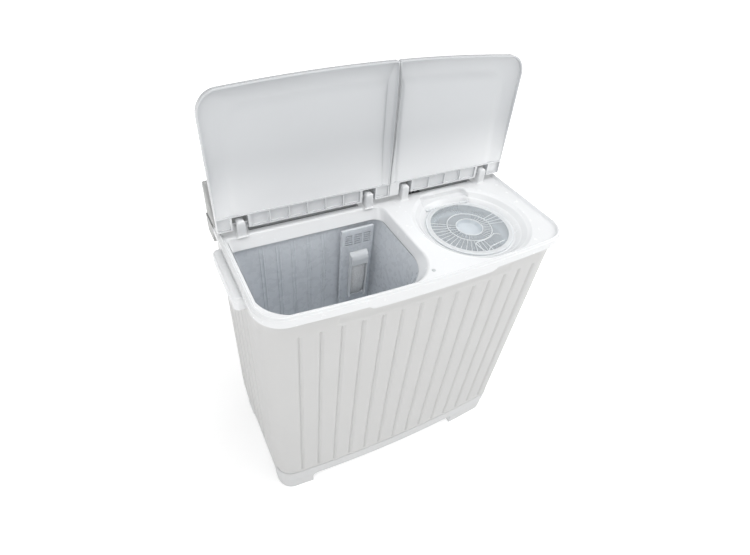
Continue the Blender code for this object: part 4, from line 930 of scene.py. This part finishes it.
def make_lid(name, x_range, ears, pockets, body):
    outer = [
        (0.0004, LID_LOW), (0.0, LID_LOW + 0.0005), (0.0, 0.0052), (0.0006, 0.0076), (0.0018, 0.0093),
        (0.0036, 0.0103), (0.006, 0.0108), (0.02, 0.0114), (0.045, 0.0119), (0.07, LID_HIGH),
    ]
    rings = [level(lid_outline(x_range, inset, LID_HEEL - min(inset, 0.004)), z) for inset, z in outer]
    split = x_range[1] if abs(x_range[0]) > abs(x_range[1]) else x_range[0]
    for place in (0, 1):
        lowered = [z - (split_drop(y) if abs(x - split) < 0.0045 else 0.0) for x, y, z in rings[place]]
        rings[place] = [(x, y, z) for (x, y, _), z in zip(rings[place], lowered)]
    shell = Surface().solid(rings)

    pan = Surface()
    heel = -STRIP
    narrow = 0.42
    rings = [level(lid_outline(x_range, 0.0034, heel), LID_LOW - 0.02)]
    rings.append(level(lid_outline(x_range, 0.0034, heel), LID_LOW + 0.0006))
    for inset in (0.004, 0.0046):
        rings.append([(x, y, pan_depth(inset, y)) for x, y in lid_outline(x_range, inset, heel)])
    start = lid_outline(x_range, 0.0046, heel)
    inner = lid_outline(x_range, 0.06, heel, 0.118, narrow)
    for inset in (0.01, 0.02, 0.03, 0.037, 0.041, 0.045, 0.049, 0.054, 0.06):
        share = (inset - 0.0046) / (0.06 - 0.0046)
        outline = between([(x, y, 0) for x, y in start], [(x, y, 0) for x, y in inner], share)
        rings.append([(x, y, pan_depth(inset, y)) for x, y, _ in outline])
    middle = Vector(((x_range[0] + x_range[1]) / 2, -0.15))
    for share in (0.95, 0.9, 0.85, 0.8, 0.7, 0.6, 0.5, 0.4, 0.3, 0.2, 0.1, 0.02):
        ring = [middle + (Vector(p) - middle) * share for p in inner]
        rings.append([(x, y, pan_depth(0.06 + (1 - share) * 0.1, y)) for x, y in ring])
    pan.solid(rings)
    cuts = [pan]
    for start, end in pockets:
        low, high = (start, -0.0195, LID_LOW - 0.01), (end, LID_HEEL - 0.003, 0.0005)
        cuts.append(Surface().block(low, high, 0.0008))
    for x in ears:
        low, high = (x - NOTCH_HALF, -0.02, LID_LOW - 0.01), (x + NOTCH_HALF, 0.02, LID_HIGH + 0.01)
        cuts.append(Surface().block(low, high, 0.0015))
    lid = piece(f"{name}_shell", shell, body, "lid_white", replaces=[name], cuts=cuts, angle=28)
    lid.data.transform(lid_frame())
    return lid


def pockets_between(start, end, count, rib=0.003):
    pitch = (end - start) / count
    return [(start + i * pitch + rib / 2, start + (i + 1) * pitch - rib / 2) for i in range(count)]


def make_lids():
    edge = LID_SPLIT - 0.00075
    cheek = NOTCH_HALF + 0.005
    a, b = EARS_WASH
    pockets = [(-RIM_HALF + 0.003, a - cheek), (b + cheek, edge - 0.003)]
    pockets += pockets_between(a + cheek, b - cheek, 6)
    make_lid("wash_lid", (-RIM_HALF, edge), EARS_WASH, pockets, "wash_lid")
    edge = LID_SPLIT + 0.00075
    a, b = EARS_SPIN
    pockets = [(b + cheek, RIM_HALF - 0.003)]
    pockets += pockets_between(a + cheek, b - cheek, 4)
    make_lid("spin_lid", (edge, RIM_HALF), EARS_SPIN, pockets, "spin_lid")


# ---- clear inner lid -----------------------------------------------------------------------------------
def disc_ring(radius, z, back_inset, sides=240):
    """A ring of the inner lid; behind the middle it is cut straight for the hinge."""
    limit = INNER_HINGE + 0.001 - back_inset
    points = []
    for k in range(sides):
        angle = 2 * math.pi * (k + 0.5) / sides
        c, s = math.cos(angle), math.sin(angle)
        out = radius if s <= 0 else min(radius, limit / s)
        points.append((SPIN_XY[0] + out * c, SPIN_XY[1] + out * s, INNER_LOW + z))
    return points


def rib(surface, angle, start, end, half, low, high):
    """A thin radial rib of the inner lid."""
    turn = Matrix.Translation((*SPIN_XY, INNER_LOW)) @ Matrix.Rotation(math.radians(angle), 4, "Z")
    surface.block((start, -half, low), (end, half, high), 0.0003, lambda p: turn @ p)


def make_inner_cover():
    body = "spin_inner_cover"
    top = [
        (0.1126, 0.0002), (0.113, 0.0008), (0.113, 0.0022), (0.1124, 0.0032), (0.1108, 0.0034),
        (0.1096, 0.003), (0.109, 0.0021), (0.1084, 0.002), (0.035, 0.002), (0.035, 0.0002),
    ]
    steps = [(r, z, max(0.113 - max(r, 0.1), 0.0)) for r, z in top] + [(0.1126, 0.0002, 0.0)]
    plate = Surface().skin([disc_ring(*step) for step in steps])
    piece("inner_cover_disc", plate, body, "clear_plastic", replaces=["spin_inner_cover"])

    bowl = [
        (0.0348, 0.0018), (0.0338, 0.001), (0.0326, -0.0012), (0.0312, -0.006), (0.0296, -0.0078),
        (0.027, -0.0086), (0.02, -0.0092), (0.01, -0.0094), (0.002, -0.0094), (0.002, -0.011),
        (0.028, -0.0102), (0.031, -0.009), (0.0328, -0.005), (0.0348, 0.0002),
    ]
    hub = turned([(r, INNER_LOW + z) for r, z in bowl + bowl[:1]], SPIN_XY, 96)
    for z in (-0.0094, -0.011):
        hub.faces.append(tuple(hub.add(circle(SPIN_XY, 0.002, INNER_LOW + z, 96))))
    piece("inner_cover_hub", hub, body, "clear_hub")

    border = Surface()
    band = [(0.1001, 0.0021), (0.1003, 0.003), (0.101, 0.0034), (0.109, 0.0034), (0.1097, 0.0031)]
    border.skin([disc_ring(r, z, 0.0) for r, z in band])
    piece("inner_cover_border", border, body, "clear_border")

    edges = Surface()
    rim = [(0.1131, 0.0006), (0.1131, 0.0026), (0.1122, 0.0037)]
    rim += [(0.1106, 0.0039), (0.1092, 0.0034), (0.1084, 0.0022)]
    edges.skin([disc_ring(r, z, 0.1131 - r) for r, z in rim])
    for radius, half, tall in ((0.058, 0.0013, 0.0036), (0.0345, 0.0014, 0.0036)):
        section = [(1.0, 0.0016), (0.8, tall - 0.0005), (0.4, tall)]
        profile = [(radius - half * share, z) for share, z in section]
        profile += [(radius + half * share, z) for share, z in reversed(section)]
        edges.skin([disc_ring(r, z, 0.0) for r, z in profile])
    for angle in [*range(150, 271, 8), 352, 0, 8, 16]:
        rib(edges, angle, 0.06, 0.1085, 0.0006, 0.0012, 0.003)
    for angle in [*range(-72, 40, 9), *range(150, 235, 12)]:
        rib(edges, angle, 0.036, 0.057, 0.0005, 0.0012, 0.0028)
    path = [(-0.028, -0.064), (-0.0245, -0.0935), (-0.0215, -0.1), (-0.013, -0.1015), (-0.009, -0.096)]
    path += [(0.0, -0.0885), (0.022, -0.0845), (0.05, -0.08)]
    add_bead(edges, path, 0.0011, 0.0042)
    loop = [(-0.028, -0.064), (-0.018, -0.061), (0.004, -0.06), (0.024, -0.056), (0.04, -0.048)]
    loop += [(0.048, -0.05), (0.054, -0.058)]
    add_bead(edges, loop, 0.001, 0.004)
    piece("inner_cover_ribs", edges, body, "clear_edges")

    knuckle = Surface()
    x, y = SPIN_XY
    for low, high in ((-0.068, -0.04), (-0.039, 0.039), (0.04, 0.068)):
        rings = []
        for along, radius in ((low, 0.0022), (low + 0.0006, 0.0029), (high - 0.0006, 0.0029), (high, 0.0022)):
            round_it = arc((y + INNER_HINGE, INNER_LOW + 0.003), radius, 0, 345, 23)
            rings.append([(x + along, a, b) for a, b in round_it])
        knuckle.solid(rings)
    piece("inner_cover_knuckle", knuckle, body, "clear_edges")


def add_bead(surface, path, half, tall):
    """A low raised line along a path on the inner lid."""
    points = [Vector(p) for p in path]
    rings = []
    for i, here in enumerate(points):
        before, after = points[max(i - 1, 0)], points[min(i + 1, len(points) - 1)]
        along = (after - before).normalized()
        side = Vector((-along.y, along.x))
        ring = []
        section = [(half, 0.0012), (half, tall - 0.0006), (half * 0.5, tall)]
        for out, z in [(-out, z) for out, z in section] + section[::-1]:
            p = here + side * out
            ring.append((SPIN_XY[0] + p.x, SPIN_XY[1] + p.y, INNER_LOW + z))
        rings.append(ring)
    surface.solid(rings)


# ---- wash side -----------------------------------------------------------------------------------------
def tub_outline(inset):
    left, right = WASH_X
    front, back = inset * 1.3, WASH_BACK + 0.008 - inset * 0.6
    corners = [
        (left + inset, WASH_FRONT[0] + front),
        (right - inset, WASH_FRONT[1] + front),
        (right - inset, back),
        (left + inset, back),
    ]
    return rounded(corners, (0.085, 0.105, 0.018, 0.014), 16)


def make_tub():
    steps = [
        (0.7412, 0.0002), (0.7, 0.008), (0.6, 0.0106), (0.5, 0.0133), (0.45, 0.0148),
        (0.435, 0.0155), (0.42, 0.017), (0.408, 0.02), (0.397, 0.025), (0.388, 0.032),
        (0.381, 0.041), (0.3765, 0.052), (TUB_BOTTOM, 0.064),
    ]
    rings = [level(tub_outline(inset), z) for z, inset in steps]
    middle = Vector((*PULSATOR_XY, TUB_BOTTOM))
    floor = rings[-1]
    for share in (0.75, 0.5, 0.2, 0.02):
        rings.append([tuple(middle + (Vector(p) - middle) * share) for p in floor])
    shell = Surface().skin(rings, last=True)
    for x in TUB_RIBS:
        for offset in (-0.0042, 0.0042):
            add_wall_rib(shell, x + offset)
    piece("wash_tub_liner", shell, "machine", "tub_grey", replaces=["wash_tub"], angle=40)


def make_drain():
    """The strainer in the tub's floor, with the valve's stopper under it."""
    x, y = DRAIN_XY
    grille = turned([(0.0135, 0.0002), (0.0135, 0.0012), (0.0125, 0.002), (0.01, 0.0021)], DRAIN_XY, 40)
    grille.points = [(a, b, TUB_BOTTOM + z) for a, b, z in grille.points]
    for place in (-0.008, -0.004, 0.0, 0.004, 0.008):
        half = math.sqrt(0.0105**2 - place**2)
        low = (x + place - 0.0008, y - half, TUB_BOTTOM + 0.0008)
        grille.block(low, (x + place + 0.0008, y + half, TUB_BOTTOM + 0.0022), 0.0003)
    piece("drain_grille", grille, "machine", "filter_grey")
    # A dark disc under the strainer: painted shade in the drain hole.
    steps = [(0.0112, TUB_BOTTOM + 0.0005), (0.006, TUB_BOTTOM + 0.0004), (0.0005, TUB_BOTTOM + 0.0004)]
    hole_shade = turned(steps, DRAIN_XY, 32, (False, True))
    piece("drain_hole_painted_shade", hole_shade, "machine", "shadow_grey")

    profile = [(0.002, 0.3042), (0.0036, 0.3044), (0.004, 0.305), (0.004, 0.352), (0.0094, 0.3556)]
    profile += [(0.0099, 0.3564), (0.0099, 0.3604), (0.0094, 0.3612), (0.006, 0.3614)]
    stopper = turned(profile, DRAIN_XY, 40, (True, True))
    piece("drain_stopper", stopper, "drain_plunger", "rubber_black", replaces=["drain_plunger"])


def add_wall_rib(shell, x):
    """A rounded vertical rib on the tub's back wall."""
    rings = []
    for z in (0.73, 0.724, 0.7, 0.6, 0.5, 0.45, 0.438):
        inset = 0.008 * (0.7412 - z) / 0.0412 if z > 0.7 else 0.008 + 0.0068 * (0.7 - z) / 0.25
        back = WASH_BACK + 0.008 - inset * 0.6
        tall = 0.0016 if 0.44 < z < 0.727 else 0.0
        ring = []
        for k in range(9):
            angle = math.pi * k / 8
            ring.append((x + 0.002 * math.cos(angle), back + 0.0004 - (tall + 0.0004) * math.sin(angle), z))
        rings.append(ring)
    shell.skin(rings, closed=False)


def make_pulsator():
    x, y = PULSATOR_XY
    sides = 160
    z0 = TUB_BOTTOM + 0.008
    shape = [
        (0.088, 0.0004, 0.0), (0.0925, 0.0006, 0.0), (0.0946, 0.0018, 0.0), (0.095, 0.0032, 0.0),
        (0.0944, 0.0048, 0.0), (0.0928, 0.006, 0.0015), (0.086, 0.0072, 0.006),
        (0.076, 0.009, 0.0105), (0.064, 0.011, 0.0125), (0.05, 0.0135, 0.012),
        (0.036, 0.0158, 0.0095), (0.026, 0.0178, 0.0055), (0.02, 0.0192, 0.0018),
        (0.0165, 0.0199, 0.0), (0.013, 0.02, 0.0), (0.0085, 0.0199, 0.0),
    ]
    rings = []
    for radius, height, lift in shape:
        ring = []
        for k in range(sides):
            angle = 2 * math.pi * k / sides
            sweep = angle + 0.35 * (radius / 0.095)
            wave = max(0.0, math.cos(4 * sweep)) ** 3
            top = z0 + height + lift * wave
            ring.append((x + radius * math.cos(angle), y + radius * math.sin(angle), top))
        rings.append(ring)
    surface = Surface().solid(rings)
    piece("pulsator_disc", surface, "pulsator", "cover_white", replaces=["pulsator"], angle=50)
    cap = [(0.0074, 0.0202), (0.0078, 0.0216), (0.007, 0.0232), (0.0045, 0.024), (0.0005, 0.0242)]
    surface = turned([(r, z0 + z) for r, z in cap], PULSATOR_XY, 48, (False, True))
    piece("pulsator_cap", surface, "pulsator", "knob_grey", replaces=["pulsator_screw"])


def make_filter():
    low, high = 0.47, 0.735
    rings = []
    for inset, y in ((0.0, 0.0705), (0.0, 0.0652), (0.0004, 0.0645), (0.0012, 0.0641)):
        outline = rectangle((-0.104, low), (-0.012, high), inset, (0.003,) * 4)
        rings.append([(x, y, z) for x, z in outline])
    panel = Surface().solid(rings)
    cuts = []
    for column in (-0.093, -0.067, -0.041):
        for row in range(5):
            z = 0.718 - row * 0.0068
            cuts.append(Surface().block((column, 0.06, z - 0.0034), (column + 0.02, 0.069, z), 0.0008))
    back = Surface().block((-0.0905, 0.06, 0.49), (-0.02, 0.0648, 0.676), 0.002)
    cuts.append(back)
    piece("overflow_plate", panel, "machine", "tub_grey", replaces=["overflow_panel"], cuts=cuts)

    frame_part = Surface()
    a, b, top = -0.08, -0.03, 0.664
    for x in (a, b - 0.003):
        frame_part.block((x, 0.047, 0.511), (x + 0.003, 0.0636, top - 0.006), 0.0008)
    frame_part.block((a, 0.056, 0.511), (b, 0.0636, 0.516), 0.0012)
    hood = []
    for k in range(9):
        angle = math.radians(90 * k / 8)
        y, z = 0.0636 - 0.017 * math.sin(angle), top - 0.017 * (1 - math.cos(angle)) - 0.0002
        hood.append([(a, y, z), (b, y, z), (b, y - 0.0008, z - 0.0022), (a, y - 0.0008, z - 0.0022)])
    frame_part.solid(hood)
    frame_part.block((a, 0.0462, 0.627), (b, 0.0482, 0.648), 0.0008)
    body = "lint_filter"
    piece("lint_filter_frame", frame_part, body, "clear_edges", replaces=[body])

    bag = Surface()
    rings = []
    steps = [
        (0.64, 0.0215, 0.004), (0.63, 0.022, 0.011), (0.61, 0.022, 0.015), (0.58, 0.0215, 0.016),
        (0.55, 0.021, 0.016), (0.53, 0.02, 0.014), (0.519, 0.018, 0.008), (0.5165, 0.016, 0.003),
    ]
    for z, wide, deep in steps:
        ring = []
        for k in range(25):
            angle = math.pi * k / 24
            across, out = wide * powered(math.cos(angle), 0.6), deep * math.sin(angle) ** 0.7
            ring.append((-0.055 + across, 0.063 - out, z))
        rings.append(ring)
    bag.skin(rings, closed=False)
    piece("lint_filter_mesh", bag, "lint_filter", "filter_net", angle=60)


# ---- spin side -----------------------------------------------------------------------------------------
def make_basket():
    low, high = BASKET_Z
    inner, sides = BASKET_RADIUS - 0.01, 96
    wide = BASKET_RADIUS
    profile = [
        (0.0065, low + 0.0122, 0), (0.028, low + 0.0118, 0), (0.033, low + 0.0095, 0),
        (0.038, low + 0.002, 0), (0.044, low, 0), (inner - 0.003, low, 0), (inner + 0.003, low + 0.0025, 0),
        (wide - 0.002, low + 0.008, 0), (wide, low + 0.016, 0),
    ]
    for row in range(14):
        z = low + 0.04 + row * 0.018
        profile += [(wide, z, 1 + row % 2), (wide, z + 0.006, 0)]
    profile += [
        (wide, high - 0.012, 0), (wide - 0.001, high - 0.006, 0), (wide - 0.005, high - 0.001, 0),
        (wide - 0.011, high, 0), (0.097, high - 0.002, 0), (0.094, high - 0.005, 0),
    ]
    drum = Surface()
    rows = [drum.add(circle(SPIN_XY, r, z, sides)) for r, z, _ in profile]
    for (_, _, pattern), lower, upper in zip(profile, rows, rows[1:]):
        for k in range(sides):
            j = (k + 1) % sides
            if pattern and (k + 2 * pattern) % 4 == 0:
                continue
            drum.faces.append((lower[k], lower[j], upper[j], upper[k]))
    basket = piece("spin_basket_drum", drum, "spin_rotor", "basket_white", replaces=["spin_basket"], angle=50)
    wall = basket.modifiers.new("wall", "SOLIDIFY")
    wall.thickness = 0.0016
    wall.offset = 0.0


# ---- back --------------------------------------------------------------------------------------------
def make_rear_cover():
    y = CABINET_BACK + 0.0003
    plate = Surface()
    rings = []
    for inset, depth in ((0.0004, 0.0), (0.0, 0.0005), (0.0, 0.0014), (0.0006, 0.002)):
        outline = rectangle((-0.315, 0.165), (0.315, 0.645), inset, (0.012,) * 4, 6)
        rings.append([(x, y + depth, z) for x, z in outline])
    plate.solid(rings)
    cuts = []
    for x in (-0.2, 0.2):
        for row in range(6):
            z = 0.22 + row * 0.02
            outline = rectangle((x - 0.06, z), (x + 0.06, z + 0.007), 0.0, (0.0034,) * 4, 6)
            rings = [[(a, depth, b) for a, b in outline] for depth in (y - 0.01, y + 0.01)]
            cuts.append(Surface().solid(rings))
    piece("rear_cover_plate", plate, "machine", "cabinet_white", replaces=["rear_service_cover"], cuts=cuts)


# ---- CAD nodes that show as they are ---------------------------------------------------------------------
CARRIED = {
    "steel": [
        *(f"{lid}_lid_pin_{side}" for lid in ("wash", "spin") for side in ("left", "right")),
        *(f"rear_cover_screw_{n}" for n in range(1, 5)), *(f"spin_mount_spring_{n}" for n in range(1, 4)),
        "pulsator_shaft", "wash_motor_bracket", "wash_motor_pulley", "spin_shaft", "spin_motor_plate",
        "brake_lever", "brake_bracket",
    ],
    "motor_metal": ["wash_motor", "spin_motor", "brake_drum", "run_capacitor", "pulsator_bearing_housing"],
    "black_plastic": [
        "driven_pulley", "drain_valve_body", "drain_outlet", "wash_timer", "spin_timer", "drain_selector",
    ],
    "rubber_black": ["drive_belt", "spin_shaft_seal", "cable_gland"],
    "knob_grey": ["water_inlet"],
    "tub_grey": ["spin_tub"],
}


def dress_cad_nodes():
    for finish, names in CARRIED.items():
        for name in names:
            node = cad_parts[name]
            node.data.materials.clear()
            node.data.materials.append(FINISHES[finish])
            for face in node.data.polygons:
                face.material_index = 0


# ---- stage, light and camera -----------------------------------------------------------------------
def make_stage():
    floor = Surface()
    floor.skin([[(x, y, 0.0) for x in (-30, -2, 2, 30)] for y in (-30, -2, 2, 30)], closed=False)
    mesh = as_mesh("floor", floor)
    thing = bpy.data.objects.new("floor", mesh)
    bpy.context.scene.collection.objects.link(thing)
    surface, tree, shader, place = new_surface("floor_paper")
    mottled(tree, place, shader, 1.5, (0.93,) * 3, (0.95,) * 3)
    shader.inputs["Roughness"].default_value = 0.9
    shader.inputs["Emission Color"].default_value = (1, 1, 1, 1)
    far = node(tree, "ShaderNodeVectorMath", {0: place}, operation="LENGTH")
    glow = ranged(tree, far.outputs["Value"], 0.36, 0.85, (0.5, 2.6), "SMOOTHSTEP")
    tree.links.new(glow, shader.inputs["Emission Strength"])
    mesh.materials.append(surface)
    thing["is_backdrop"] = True


def area_light(name, place, target, size, power, colour=(1, 1, 1)):
    lamp = bpy.data.lights.new(name, "AREA")
    lamp.shape = "RECTANGLE"
    lamp.size, lamp.size_y = size
    lamp.energy = power
    lamp.color = colour
    thing = bpy.data.objects.new(name, lamp)
    bpy.context.scene.collection.objects.link(thing)
    thing.location = place
    thing.rotation_mode = "QUATERNION"
    thing.rotation_quaternion = (Vector(target) - Vector(place)).to_track_quat("-Z", "Y")


def make_light():
    world = bpy.data.worlds.new("studio")
    world.use_nodes = True
    back = world.node_tree.nodes["Background"]
    back.inputs["Color"].default_value = (1.0, 1.0, 1.0, 1.0)
    back.inputs["Strength"].default_value = 0.22
    bpy.context.scene.world = world
    area_light("overhead", (0.1, 0.0, 3.2), (0, 0, 0.7), (2.6, 2.2), 44.0)
    area_light("left_side", (-2.6, -1.6, 2.4), (0, 0, 0.6), (2.0, 1.8), 33.0)
    area_light("right_side", (2.6, -0.8, 2.4), (0, 0, 0.6), (2.0, 1.8), 40.0)
    area_light("front_above", (0.1, -1.8, 3.0), (0, 0, 0.7), (2.4, 1.6), 9.0)
    area_light("front_low", (1.2, -3.4, 1.6), (0, 0, 0.5), (2.4, 1.8), 4.0)


def make_camera():
    lens = bpy.data.cameras.new("camera")
    lens.sensor_fit = "HORIZONTAL"
    lens.sensor_width = 36.0
    lens.lens = 22.98
    lens.shift_x, lens.shift_y = 0.023, 0.0198
    lens.clip_start, lens.clip_end = 0.05, 60.0
    camera = bpy.data.objects.new("camera", lens)
    bpy.context.scene.collection.objects.link(camera)
    right, up, back = (0.89487, -0.44191, 0.06268), (0.26488, 0.63884, 0.7223), (-0.35924, -0.62976, 0.68873)
    matrix = Matrix((right, up, back)).transposed().to_4x4()
    matrix.translation = (-0.5392, -0.8044, 1.4554)
    camera.matrix_world = matrix
    bpy.context.scene.camera = camera


def write_sizes():
    boxes = {"before": FIRST_BOUNDS, "after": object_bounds()}
    boxes = {name: [list(corner) for corner in box] for name, box in boxes.items()}


bpy.context.scene.view_settings.view_transform = "Standard"
make_cabinet()
make_base()
make_top_cover()
make_bumper_plug()
make_handles()
make_console()
make_lids()
make_inner_cover()
make_tub()
make_drain()
make_pulsator()
make_filter()
make_basket()
make_rear_cover()
dress_cad_nodes()
make_stage()
make_light()
make_camera()
write_sizes()
